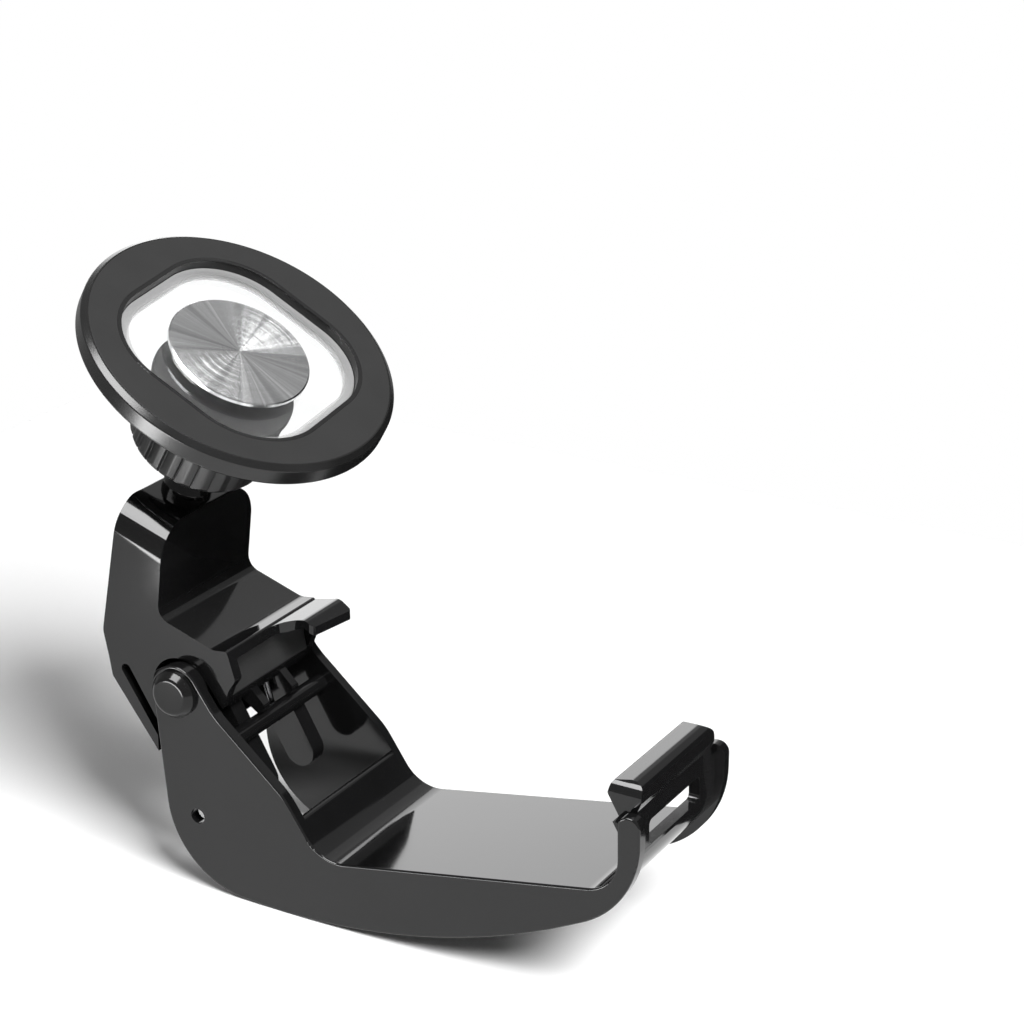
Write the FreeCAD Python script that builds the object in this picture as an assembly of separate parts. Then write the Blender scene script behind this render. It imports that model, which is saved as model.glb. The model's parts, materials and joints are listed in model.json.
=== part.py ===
import FreeCAD, Part
import math
import os

# Controller phone clip: a sprung jaw on a cradle, with a magnetic ring on a ball joint.
# Sizes are in millimetres and angles in degrees.
# Shapes are drawn with the pivot pin's axis at x = 0, z = 0 and the clip's middle at y = 0.
# X runs from the pivot to the front hook, Y across the clip and Z up.
# The finished pieces are then moved so that the origin lies on the controller seat.

# Place of the seat's reference point, from the pivot axis
SEAT_REACH = 60.0
SEAT_DROP = 21.4
SEAT_PITCH = 10.5

# Cradle
CRADLE_WIDTH = 34.8
PLATE_T = 2.2
EAR_R = 5.3
EAR_REAR_LEAN = 5.4
EAR_FRONT_SLOPE = 55.0
NAPE_X = 8.3
NAPE_R = 16.0
NAPE_SLOPE = 40.7
HEEL_Z = -38.4
HEEL_R = 18.0
BELLY_X = 51.0
BELLY_Z = -41.0
BELLY_R = 131.0
FRONT_X = 96.0
FRONT_LOW_Z = -18.1
FRONT_R = 20.0
RIB_TOP_Z = -1.0
RIB_DEPTH = 4.1
SEAT_FRONT_R = 7.0
SEAT_REAR_X = 31.0
SEAT_REAR_R = 8.0
BEND_X = 23.4
BEND_R = 14.0
WEB_T = 2.2
WEB_START_X = 26.0
HOOK_TOP_Z = 3.6
HOOK_LEAN = 1.0
HOOK_CURL_Z = -5.5
HOOK_LIP_BACK = 3.6
HOOK_LIP_BACK_Z = 0.9
HOOK_LIP_FRONT = 0.7
HOOK_LIP_H = 3.4
HOOK_HALF_W = 14.0
HOOK_CORNER_R = 3.0
WINDOW_W = 19.4
WINDOW_H = 4.8
WINDOW_MID_Z = -7.3
WINDOW_R = 1.0
SIDE_HOLE_R = 1.5
SIDE_HOLE_X = 3.8
SIDE_HOLE_Z = -24.4
PLATE_EDGE_R = 0.4

# Cheeks inside the cradle, which carry the pin and stop the arm
BOSS_R = 5.0
CHEEK_T = 3.6
CHEEK_GAP = 11.6
CHEEK_END_X = 11.0
CHEEK_END_Z = -19.0
CHEEK_END_R = 3.2
CHEEK_NECK_R = 3.3
BAR_R = 1.7
BAR_X = 9.8
BAR_Z = -8.8

# Pivot pin, its caps and the closing spring
PIN_R = 2.0
PIN_FIT = 0.05
CAP_R = 4.6
CAP_RISE = 2.2
CAP_CROWN_R = 3.5
CAP_WALL = 0.7
BUSH_R = 3.6
WIRE_D = 1.3
COIL_GAP = 0.15
COIL_TURNS = 3
LEG_UP = 5.0
LEG_DOWN = 14.0
LEG_FIT = 0.1

# Arm with the upper jaw
ARM_WIDTH = 28.8
ARM_WALL = 2.4
ARM_TOP_X = -8.45
ARM_TOP_Z = 32.75
ARM_TOP_SLOPE = 20.0
ARM_TOP_HALF = 5.25
SHOULDER_R = 7.2
FRONT_FOOT_X = -5.6
FRONT_FOOT_Z = 12.9
FRONT_FOOT_R = 3.0
SHELF_END_X = 6.6
SHELF_END_Z = 8.9
SHELF_END_R = 3.5
LIP_X = 9.7
LIP_Z = 9.3
NOSE_X = 11.4
NOSE_Z = 3.8
NOSE_LOW_X = 9.9
NOSE_LOW_Z = 1.6
NOSE_TIP_X = 8.1
NOSE_TIP_Z = -3.0
WALL_TIP_X = -6.9
WALL_TIP_Z = -8.2
SLOT_X = -13.2
SLOT_Z = 1.95
SLOT_R = 1.0
TAIL_ROOT_T = 2.8
TAIL_T = 1.6
TAIL_TOP_X = -16.8
TAIL_TOP_Z = -1.5
TAIL_END_X = -5.4
TAIL_END_Z = -16.8
BACK_LOW_X = -17.4
BACK_LOW_Z = 2.2
BACK_BEND_X = -18.5
BACK_BEND_Z = 7.5
BACK_BEND_R = 4.0
NOTCH_X = -0.9
NOTCH_Z = -0.9
NOTCH_R = 6.4
NOTCH_SLOPE = 53.0
SHELF_T = 2.2
CAVITY_FRONT_X = 6.6
CAVITY_FRONT_Z = 4.2
INSERT_BOSS_R = 5.4
LUG_T = 1.9
LUG_R = 4.6
LUG_SIDE = 0.2
STOP_T = 2.4
STOP_REACH = 12.4
STOP_FIT = 0.1
TONGUE_X = 18.0
TONGUE_NEAR_Y = 2.6
TONGUE_T = 1.5
TONGUE_RISE = 1.0
TONGUE_ROOT_R = 4.0

# Rubber pad in the jaw's front
PAD_T = 1.5
PAD_HALF_W = 12.2
PAD_FIT = 0.05

# Ball stud
BALL_R = 8.5
STUD_LENGTH = 14.9
NECK_R = 3.0
FOOT_R = 4.6
FOOT_T = 0.8
SHANK_R = 2.5
SHANK_LENGTH = 9.5
SHANK_SPACE = 0.5
WASHER_T = 0.5
WASHER_R = 4.7
INSERT_R = 3.5
INSERT_LENGTH = 6.5
INSERT_SINK = 0.5
THREAD_FIT = 0.05

# Head, measured along its own axis from the ball's centre
HEAD_TILT = 31.0
HEAD_LEAN = -5.3
HEAD_YAW = 5.0
LINER_T = 0.9
LINER_FIT = 0.05
LINER_LOW = -3.6
COLLET_R = 11.1
COLLET_LOW = -3.2
COLLET_LOW_R = 9.9
COLLET_TOP = 7.6
COLLET_SLITS = 4
COLLET_SLIT_W = 0.8
FLANGE_R = 13.4
FLANGE_T = 1.2
SOCKET_NECK_R = 4.6
SOCKET_HEAD_R = 8.0
SOCKET_HEAD_T = 1.0
SOCKET_FILLET_R = 2.2
PLATE_LOW = 15.1
PLATE_THICK = 2.6
PLATE_FIT = 0.05
SCREW_R = 1.5
SCREW_HEAD_R = 3.0
SCREW_LENGTH = 6.0
SCREW_SOCKET_R = 1.0
DISC_R = 13.3
DISC_T = 0.8

# Lock nut
NUT_R = 13.0
NUT_RIBS = 24
NUT_RIB_DEPTH = 0.75
NUT_RIB_RAMP = 1.9
NUT_LOW = -5.5
NUT_TOP_GAP = 0.3
NUT_FIT = 0.1
NUT_MOUTH_R = 7.6
NUT_BEVEL = 0.6

# Magnetic ring
RING_R = 29.6
RING_RISE = 4.4
RING_ROUND = 0.9
RING_BAND = 9.6
OPENING_HALF = RING_R - RING_BAND
OPENING_CORNER_R = OPENING_HALF * 0.71
RING_PAD_T = 0.6
RING_PAD_RIM = 1.2
RING_PAD_INNER = 0.8
CHANNEL_WALL = 1.9
CHANNEL_WIDTH = 3.8
CHANNEL_OUT_R = RING_R - CHANNEL_WALL
CHANNEL_IN_R = CHANNEL_OUT_R - CHANNEL_WIDTH
CHANNEL_ROOF = 0.5
RING_COVER_T = 0.8
RING_STEP = 0.4
YOKE_T = 0.5
MAGNETS = 16
MAGNET_T = 1.8
MAGNET_SPLIT = 0.5
RING_FIT = 0.05


def vec(x, y, z):
    return FreeCAD.Vector(x, y, z)


def unit(angle):
    # Direction in the side view, counted from +X towards +Z
    return (math.cos(math.radians(angle)), math.sin(math.radians(angle)))


def crossing(p, p_angle, q, q_angle):
    # Point where two lines in the side view meet
    d = unit(p_angle)
    e = unit(q_angle)
    det = d[0] * -e[1] + e[0] * d[1]
    t = ((q[0] - p[0]) * -e[1] + e[0] * (q[1] - p[1])) / det
    return (p[0] + t * d[0], p[1] + t * d[1])


def rounded_wire(corners, to_3d, closed=True):
    # Straight runs through the corners (a, b, radius), each corner an arc of its radius
    edges = []
    count = len(corners)
    starts = []
    ends = []
    mids = []
    for i in range(count):
        a, b, radius = corners[i]
        pa, pb = corners[i - 1][:2]
        na, nb = corners[(i + 1) % count][:2]
        at_end = not closed and i in (0, count - 1)
        if radius <= 0 or at_end:
            starts.append((a, b))
            ends.append((a, b))
            mids.append(None)
            continue
        la = math.hypot(pa - a, pb - b)
        lb = math.hypot(na - a, nb - b)
        ua = ((pa - a) / la, (pb - b) / la)
        ub = ((na - a) / lb, (nb - b) / lb)
        half = math.acos(max(-1.0, min(1.0, ua[0] * ub[0] + ua[1] * ub[1]))) / 2
        run = radius / math.tan(half)
        bis = (ua[0] + ub[0], ua[1] + ub[1])
        size = math.hypot(bis[0], bis[1])
        reach = radius / math.sin(half)
        centre = (a + bis[0] / size * reach, b + bis[1] / size * reach)
        starts.append((a + ua[0] * run, b + ua[1] * run))
        ends.append((a + ub[0] * run, b + ub[1] * run))
        mids.append((centre[0] - bis[0] / size * radius, centre[1] - bis[1] / size * radius))
    last = count if closed else count - 1
    for i in range(count):
        if mids[i] is not None:
            edges.append(Part.Arc(to_3d(*starts[i]), to_3d(*mids[i]), to_3d(*ends[i])).toShape())
        if i < last:
            j = (i + 1) % count
            run = math.hypot(starts[j][0] - ends[i][0], starts[j][1] - ends[i][1])
            if run > 1e-6:
                edges.append(Part.LineSegment(to_3d(*ends[i]), to_3d(*starts[j])).toShape())
    return Part.Wire(edges)


def side_prism(corners, y_low, y_high):
    # Side-view outline, drawn out across the clip
    wire = rounded_wire(corners, lambda x, z: vec(x, y_low, z))
    return Part.Face(wire).extrude(vec(0, y_high - y_low, 0))


def bar_y(x, z, radius, y_low, y_high):
    return Part.makeCylinder(radius, y_high - y_low, vec(x, y_low, z), vec(0, 1, 0))


def ring_z(outer, inner, low, high):
    body = Part.makeCylinder(outer, high - low, vec(0, 0, low))
    return body.cut(Part.makeCylinder(inner, high - low + 2, vec(0, 0, low - 1)))


def turned(profile):
    # Solid of revolution about Z from corners (radius, height, corner radius)
    wire = rounded_wire(profile, lambda r, z: vec(r, 0, z))
    return Part.Face(wire).revolve(vec(0, 0, 0), vec(0, 0, 1), 360)


def polar_point(radius, angle):
    dx, dy = unit(angle)
    return (radius * dx, radius * dy)


def polar(shape, count, index):
    copy = shape.copy()
    copy.rotate(vec(0, 0, 0), vec(0, 0, 1), 360.0 * index / count)
    return copy


def fused(shapes):
    body = shapes[0]
    for other in shapes[1:]:
        body = body.fuse(other)
    return body.removeSplitter()


def mirrored(shape):
    return shape.mirror(vec(0, 0, 0), vec(0, 1, 0))


def seat_z(x):
    return -SEAT_DROP + (x - SEAT_REACH) * math.tan(math.radians(SEAT_PITCH))


# Cradle: two side plates, the seat between them, the front hook and the inner cheeks

def hook_foot():
    inner_x = FRONT_X - RIB_DEPTH
    return (inner_x, seat_z(inner_x))


def hook_x(z):
    foot_x, foot_z = hook_foot()
    return foot_x - (z - foot_z) * math.tan(math.radians(HOOK_LEAN))


def nape_point():
    # Point at NAPE_X on the ear's front edge, a tangent of the ear's round
    nx, nz = unit(90 - EAR_FRONT_SLOPE)
    return (NAPE_X, (EAR_R - nx * NAPE_X) / nz)


def bend_point():
    nape = nape_point()
    return (BEND_X, nape[1] - (BEND_X - nape[0]) * math.tan(math.radians(NAPE_SLOPE)))


def ear_apex():
    nape = nape_point()
    rear_angle = -90 + EAR_REAR_LEAN
    nx, nz = unit(180 + EAR_REAR_LEAN)
    rear = (nx * EAR_R, nz * EAR_R)
    return crossing(nape, -EAR_FRONT_SLOPE, rear, rear_angle)


def heel_corner():
    nx, nz = unit(180 + EAR_REAR_LEAN)
    return ((EAR_R - nz * HEEL_Z) / nx, HEEL_Z)


def plate_outline():
    apex = ear_apex()
    bend = bend_point()
    heel = heel_corner()
    end_r = RIB_DEPTH / 2 - 0.05
    return [
        (apex[0], apex[1], EAR_R),
        (heel[0], heel[1], HEEL_R),
        (BELLY_X, BELLY_Z, BELLY_R),
        (FRONT_X, FRONT_LOW_Z, FRONT_R),
        (FRONT_X, RIB_TOP_Z, end_r),
        (hook_x(RIB_TOP_Z), RIB_TOP_Z, end_r),
        (hook_foot()[0], hook_foot()[1], SEAT_FRONT_R),
        (SEAT_REAR_X, seat_z(SEAT_REAR_X), SEAT_REAR_R),
        (bend[0], bend[1], BEND_R),
        (nape_point()[0], nape_point()[1], NAPE_R),
    ]


def side_plate():
    half = CRADLE_WIDTH / 2
    plate = side_prism(plate_outline(), half - PLATE_T, half)
    outer = [e for e in plate.Edges if abs(e.BoundBox.YMin - half) < 1e-6 and e.BoundBox.YLength < 1e-6]
    plate = plate.makeFillet(PLATE_EDGE_R, outer)
    hole = bar_y(SIDE_HOLE_X, SIDE_HOLE_Z, SIDE_HOLE_R, half - PLATE_T - 1, half + 1)
    return plate.cut(hole)


def web_band():
    # The seat's wall: its inner line, thickened downwards and forwards
    bend = bend_point()
    rear = (SEAT_REAR_X, seat_z(SEAT_REAR_X))
    slope = math.degrees(math.atan2(rear[1] - bend[1], rear[0] - bend[0]))
    start_z = bend[1] + (WEB_START_X - bend[0]) * math.tan(math.radians(slope))
    foot = hook_foot()
    top_x = hook_x(HOOK_TOP_Z)
    down = seat_line_offset()
    steep_low = (WEB_START_X - WEB_T * math.cos(math.radians(90 + slope)),
                 start_z - WEB_T * math.sin(math.radians(90 + slope)))
    rear_low = crossing(steep_low, slope, down, SEAT_PITCH)
    hook_angle = 90 + HOOK_LEAN
    out = WEB_T / math.cos(math.radians(HOOK_LEAN))
    lip_front = top_x + out + HOOK_LIP_FRONT
    foot_low = crossing((foot[0] + out, foot[1]), hook_angle, down, SEAT_PITCH)
    return [
        (WEB_START_X, start_z, WEB_T * 0.45),
        (rear[0], rear[1], SEAT_REAR_R),
        (foot[0], foot[1], SEAT_FRONT_R),
        (hook_x(HOOK_CURL_Z), HOOK_CURL_Z, 4.0),
        (top_x - HOOK_LIP_BACK, HOOK_LIP_BACK_Z, 0.9),
        (top_x - HOOK_LIP_BACK + 0.5, HOOK_TOP_Z - 0.5, 1.0),
        (top_x + 0.8, HOOK_TOP_Z, 3.0),
        (lip_front, HOOK_TOP_Z - 0.7, 1.2),
        (lip_front, HOOK_TOP_Z - HOOK_LIP_H, 0.6),
        (hook_x(HOOK_TOP_Z - HOOK_LIP_H - 1.4) + out, HOOK_TOP_Z - HOOK_LIP_H - 1.4, 1.0),
        (foot_low[0], foot_low[1], SEAT_FRONT_R + WEB_T),
        (rear_low[0], rear_low[1], SEAT_REAR_R + WEB_T),
        (steep_low[0], steep_low[1], WEB_T * 0.45),
    ]


def seat_line_offset():
    # A point on the underside of the seat
    nx, nz = unit(SEAT_PITCH - 90)
    return (SEAT_REACH + nx * WEB_T, -SEAT_DROP + nz * WEB_T)


def seat_web():
    inner = CRADLE_WIDTH / 2 - PLATE_T
    reach = inner + PLATE_T / 2
    web = side_prism(web_band(), -reach, reach)
    # The hook's top stands between the plates, its upper corners rounded
    corner = [
        (-HOOK_HALF_W, RIB_TOP_Z - 3, 0),
        (HOOK_HALF_W, RIB_TOP_Z - 3, 0),
        (HOOK_HALF_W, HOOK_TOP_Z + 0.2, HOOK_CORNER_R),
        (-HOOK_HALF_W, HOOK_TOP_Z + 0.2, HOOK_CORNER_R),
    ]
    wire = rounded_wire(corner, lambda y, z: vec(FRONT_X - 3 * RIB_DEPTH, y, z))
    tab_space = Part.Face(wire).extrude(vec(5 * RIB_DEPTH, 0, 0))
    low_box = Part.makeBox(FRONT_X * 2, 2 * reach, 80, vec(0, -reach, RIB_TOP_Z - 2 - 80))
    web = web.common(tab_space.fuse(low_box))
    window = [
        (-WINDOW_W / 2, WINDOW_MID_Z - WINDOW_H / 2, WINDOW_R),
        (WINDOW_W / 2, WINDOW_MID_Z - WINDOW_H / 2, WINDOW_R),
        (WINDOW_W / 2, WINDOW_MID_Z + WINDOW_H / 2, WINDOW_R),
        (-WINDOW_W / 2, WINDOW_MID_Z + WINDOW_H / 2, WINDOW_R),
    ]
    wire = rounded_wire(window, lambda y, z: vec(FRONT_X - 2 * RIB_DEPTH, y, z))
    return web.cut(Part.Face(wire).extrude(vec(3 * RIB_DEPTH, 0, 0)))


def cheek():
    # Inner cheek on the +Y side: hub round the pin and a lobe that reaches down and forward
    low = CHEEK_GAP / 2
    high = low + CHEEK_T
    length = math.hypot(CHEEK_END_X, CHEEK_END_Z)
    lobe_angle = math.degrees(math.atan2(CHEEK_END_Z, CHEEK_END_X))
    taper = math.degrees(math.asin((CHEEK_NECK_R - CHEEK_END_R) / length))
    points = []
    for side in (1, -1):
        ux, uz = unit(lobe_angle + side * (90 - taper))
        hub = (ux * CHEEK_NECK_R, uz * CHEEK_NECK_R)
        end = (CHEEK_END_X + ux * CHEEK_END_R, CHEEK_END_Z + uz * CHEEK_END_R)
        points.append((hub, end))
    outline = [points[0][0], points[0][1], points[1][1], points[1][0]]
    link = side_prism([(p[0], p[1], 0) for p in outline], low, high)
    end = bar_y(CHEEK_END_X, CHEEK_END_Z, CHEEK_END_R, low, high)
    inner = CRADLE_WIDTH / 2 - PLATE_T
    boss = bar_y(0, 0, BOSS_R, low, inner + PLATE_T / 2)
    return fused([boss, link, end])


def cradle():
    plate = side_plate()
    half = cheek()
    inner = CRADLE_WIDTH / 2 - PLATE_T
    reach = inner + PLATE_T / 2
    bar = bar_y(BAR_X, BAR_Z, BAR_R, -reach, reach)
    body = fused([plate, mirrored(plate), seat_web(), half, mirrored(half), bar])
    return body.cut(bar_y(0, 0, PIN_R + PIN_FIT, -CRADLE_WIDTH, CRADLE_WIDTH))


# Pivot: pin with a domed head, its far cap, the spring and the bush that it winds on

def dome(radius, rise, sign):
    # Crowned button, its flat back on the plate's outer face
    wire = [
        (0, 0, 0),
        (radius, 0, 0),
        (radius, rise * 0.4, 0.4),
        (CAP_CROWN_R, rise, 1.2),
        (0, rise, 0),
    ]
    cap = turned(wire)
    cap.rotate(vec(0, 0, 0), vec(1, 0, 0), -90 if sign > 0 else 90)
    cap.translate(vec(0, sign * CRADLE_WIDTH / 2, 0))
    return cap


def pivot_pin():
    half = CRADLE_WIDTH / 2
    shaft = bar_y(0, 0, PIN_R, -half - CAP_WALL / 2, half + CAP_RISE - CAP_WALL - 0.1)
    return fused([dome(CAP_R, CAP_RISE, -1), shaft])


def pin_cap():
    half = CRADLE_WIDTH / 2
    bore = bar_y(0, 0, PIN_R + PIN_FIT, half - 1, half + CAP_RISE - CAP_WALL)
    return dome(CAP_R, CAP_RISE, 1).cut(bore)


def lug_span():
    high = CHEEK_GAP / 2 - LUG_SIDE
    return high - LUG_T, high


def spring_bush():
    half = lug_span()[0] - 0.1
    return bar_y(0, 0, BUSH_R, -half, half).cut(bar_y(0, 0, PIN_R + PIN_FIT, -half - 1, half + 1))


def coil_radius():
    return BUSH_R + COIL_GAP + WIRE_D / 2


def coil_path(radius, pitch, turns):
    # Half turns that meet on tangents, each tilted by a quarter of the pitch, and two straight legs
    size = math.hypot(radius, pitch / 4)
    full = math.floor(2 * turns)
    edges = []
    last = None
    for k in range(full + 1):
        side = 1 if k % 2 == 0 else -1
        centre = vec(0, 0, (k + 0.5) * pitch / 2)
        across = vec(side * radius, 0, -pitch / 4) * (1 / size)
        ahead = vec(0, side, 0)
        sweep = math.pi if k < full else (2 * turns - full) * math.pi
        points = []
        for share in (0, 0.5, 1):
            angle = sweep * share
            points.append(centre + (across * math.cos(angle) + ahead * math.sin(angle)) * size)
        edges.append(Part.Arc(*points).toShape())
        last = ahead * math.cos(sweep) - across * math.sin(sweep)
    start = vec(radius, 0, 0)
    lead = Part.LineSegment(start - vec(0, LEG_DOWN, 0), start).toShape()
    tail = Part.LineSegment(points[2], points[2] + last * LEG_UP).toShape()
    return Part.Wire([lead] + edges + [tail]), points[2].z


def closing_spring():
    # Close-wound coil on the bush, one leg up into the arm and one down behind the cross bar
    radius = coil_radius()
    pitch = WIRE_D + 0.06
    far = math.hypot(BAR_X, BAR_Z)
    touch = math.asin((BAR_R + WIRE_D / 2 + LEG_FIT + radius) / far)
    start_angle = bar_angle() - math.degrees(touch) + 90
    reach = CAVITY_FRONT_X - WIRE_D / 2 - LEG_FIT
    lean = math.atan2(LEG_UP, radius) - math.acos(reach / math.hypot(radius, LEG_UP))
    end_angle = -math.degrees(lean)
    turns = COIL_TURNS + ((end_angle - start_angle) % 360) / 360.0
    path, width = coil_path(radius, pitch, turns)
    first = path.Edges[0]
    section = Part.makeCircle(WIRE_D / 2, first.valueAt(first.FirstParameter), first.tangentAt(first.FirstParameter))
    wire = path.makePipe(Part.Face(Part.Wire(section)))
    # The coil's axis goes to -Y, so that the coil winds up as the jaw opens
    wire.translate(vec(0, 0, -width / 2))
    wire.rotate(vec(0, 0, 0), vec(1, 0, 0), 90)
    wire.rotate(vec(0, 0, 0), vec(0, 1, 0), -start_angle)
    return wire


def bar_angle():
    return math.degrees(math.atan2(BAR_Z, BAR_X))


# Arm: upright block, jaw with its shelf and lip, side walls round the pivot

def arm_top_corners():
    dx, dz = unit(-ARM_TOP_SLOPE)
    rear = (ARM_TOP_X - dx * ARM_TOP_HALF, ARM_TOP_Z - dz * ARM_TOP_HALF)
    front = (ARM_TOP_X + dx * ARM_TOP_HALF, ARM_TOP_Z + dz * ARM_TOP_HALF)
    return rear, front


def arm_outline():
    rear, front = arm_top_corners()
    return [
        (rear[0], rear[1], 0.6),
        (front[0], front[1], 0.5),
        (FRONT_FOOT_X, FRONT_FOOT_Z, FRONT_FOOT_R),
        (SHELF_END_X, SHELF_END_Z, SHELF_END_R),
        (LIP_X, LIP_Z, 0.6),
        (NOSE_X, NOSE_Z, 1.2),
        (NOSE_LOW_X, NOSE_LOW_Z, 0.6),
        (NOSE_TIP_X, NOSE_TIP_Z, 0.4),
        (WALL_TIP_X, WALL_TIP_Z, 0.4),
        (SLOT_X, SLOT_Z, SLOT_R),
        (slot_back()[0], slot_back()[1], SLOT_R),
        (tail_inner()[1][0], tail_inner()[1][1], TAIL_T * 0.4),
        (TAIL_END_X, TAIL_END_Z, TAIL_T * 0.4),
        (TAIL_TOP_X, TAIL_TOP_Z, 1.5),
        (BACK_LOW_X, BACK_LOW_Z, 4.0),
        (BACK_BEND_X, BACK_BEND_Z, BACK_BEND_R),
    ]


def shifted(p, q, gap):
    # The line from p to q, moved to its left by the gap
    size = math.hypot(q[0] - p[0], q[1] - p[1])
    nx = -(q[1] - p[1]) / size * gap
    nz = (q[0] - p[0]) / size * gap
    return ((p[0] + nx, p[1] + nz), (q[0] + nx, q[1] + nz))


def line_angle(line):
    (ax, az), (bx, bz) = line
    return math.degrees(math.atan2(bz - az, bx - ax))


def meet(one, two):
    return crossing(one[0], line_angle(one), two[0], line_angle(two))


def tail_inner():
    root = shifted((TAIL_TOP_X, TAIL_TOP_Z), (TAIL_END_X, TAIL_END_Z), TAIL_ROOT_T)[0]
    end = shifted((TAIL_TOP_X, TAIL_TOP_Z), (TAIL_END_X, TAIL_END_Z), TAIL_T)[1]
    return (root, end)


def slot_back():
    # Top of the tail's slot, on the tail's inner face
    square = line_angle(((SLOT_X, SLOT_Z), (WALL_TIP_X, WALL_TIP_Z))) - 90
    return crossing((SLOT_X, SLOT_Z), square, tail_inner()[0], line_angle(tail_inner()))


def shoulder_space(inset):
    # Section across the arm with two rounded shoulders, drawn out along the top's slope
    half = ARM_WIDTH / 2 - inset
    ux, uz = unit(-ARM_TOP_SLOPE)
    vx, vz = unit(90 - ARM_TOP_SLOPE)
    back = 45.0
    base = (ARM_TOP_X - ux * back - vx * inset, ARM_TOP_Z - uz * back - vz * inset)
    corners = [
        (-half, -70, 0),
        (half, -70, 0),
        (half, 0, SHOULDER_R - inset),
        (-half, 0, SHOULDER_R - inset),
    ]
    wire = rounded_wire(corners, lambda y, v: vec(base[0] + vx * v, y, base[1] + vz * v))
    return Part.Face(wire).extrude(vec(ux * 2 * back, 0, uz * 2 * back))


def shelf_underside():
    return shifted((SHELF_END_X, SHELF_END_Z), (FRONT_FOOT_X, FRONT_FOOT_Z), SHELF_T)


def cavity():
    # Hollow inside of the arm, open below, with a boss left round the insert
    rear, front = arm_top_corners()
    half = ARM_WIDTH / 2 - ARM_WALL
    back = shifted((BACK_BEND_X, BACK_BEND_Z), rear, -ARM_WALL)
    low_back = shifted((BACK_LOW_X, BACK_LOW_Z), (BACK_BEND_X, BACK_BEND_Z), -ARM_WALL)
    face = shifted((FRONT_FOOT_X, FRONT_FOOT_Z), front, ARM_WALL)
    shelf = shelf_underside()
    roof_front = crossing(shelf[0], line_angle(shelf), (CAVITY_FRONT_X - 3.0, 0), 90)
    inner_foot = meet(shelf, face)
    inner_bend = meet(back, low_back)
    tail_meet = meet(low_back, tail_inner())
    low = TAIL_END_Z - ARM_WALL
    tail_low = crossing((0, low), 0, tail_inner()[0], line_angle(tail_inner()))
    shape = side_prism([
        (CAVITY_FRONT_X, low, 0),
        (CAVITY_FRONT_X, CAVITY_FRONT_Z, 1.5),
        (roof_front[0], roof_front[1], 1.5),
        (inner_foot[0], inner_foot[1], 1.5),
        (face[1][0], face[1][1], 0),
        (back[1][0], back[1][1], 0),
        (inner_bend[0], inner_bend[1], BACK_BEND_R - ARM_WALL),
        (tail_meet[0], tail_meet[1], 1.0),
        (tail_low[0], tail_low[1], 0),
    ], -half, half)
    shape = shape.common(shoulder_space(ARM_WALL))
    way = stud_direction()
    length = SHANK_LENGTH + ARM_WALL
    return shape.cut(Part.makeCylinder(INSERT_BOSS_R, length, stud_base(), way * -1))


def pivot_notch():
    # Open-ended notch through both side walls, round the cradle's bosses
    nx, nz = unit(90 - NOTCH_SLOPE)
    right = (NOTCH_X + nx * NOTCH_R, NOTCH_Z + nz * NOTCH_R)
    dx, dz = unit(-NOTCH_SLOPE)
    reach = 22.0
    width = ARM_WIDTH
    wedge = side_prism([
        (right[0], right[1], 0),
        (right[0] + dx * reach, right[1] + dz * reach, 0),
        (WALL_TIP_X, -NOTCH_R * 3, 0),
        (WALL_TIP_X, WALL_TIP_Z, 0),
        (NOTCH_X - NOTCH_R, NOTCH_Z, 0),
        (NOTCH_X, NOTCH_Z, 0),
    ], -width, width)
    wall = ARM_WIDTH / 2 - ARM_WALL
    middle = Part.makeBox(200, 2 * wall, 200, vec(-100, -wall, -100))
    sides = bar_y(NOTCH_X, NOTCH_Z, NOTCH_R, -width, width).fuse(wedge)
    return sides.cut(middle)


def stop_toe(y_low, y_high):
    # Toe that meets the cradle's cross bar when the jaw is shut
    far = math.hypot(BAR_X, BAR_Z)
    angle = bar_angle() + math.degrees(math.asin((BAR_R + STOP_FIT) / far))
    dx, dz = unit(angle)
    nx, nz = unit(angle + 90)
    return side_prism([
        (dx * PIN_R * 1.5, dz * PIN_R * 1.5, 0),
        (dx * STOP_REACH, dz * STOP_REACH, 0.6),
        (dx * STOP_REACH + nx * STOP_T, dz * STOP_REACH + nz * STOP_T, 0.6),
        (nx * LUG_R, nz * LUG_R, 0),
    ], y_low, y_high)


def lugs():
    # Two lugs between the cradle's cheeks, which turn on the pin
    low, high = lug_span()
    shelf = shelf_underside()
    lift = SHELF_T / 2
    shape = None
    for y_low, y_high in ((low, high), (-high, -low)):
        hub = bar_y(0, 0, LUG_R, y_low, y_high)
        root = side_prism([
            (-LUG_R, 0, 0),
            (LUG_R, 0, 0),
            (shelf[0][0] - ARM_WALL, shelf[0][1] + lift, 0),
            (shelf[1][0], shelf[1][1] + lift, 0),
        ], y_low, y_high)
        one = hub.fuse(root).fuse(stop_toe(y_low, y_high))
        shape = one if shape is None else shape.fuse(one)
    return shape


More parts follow.
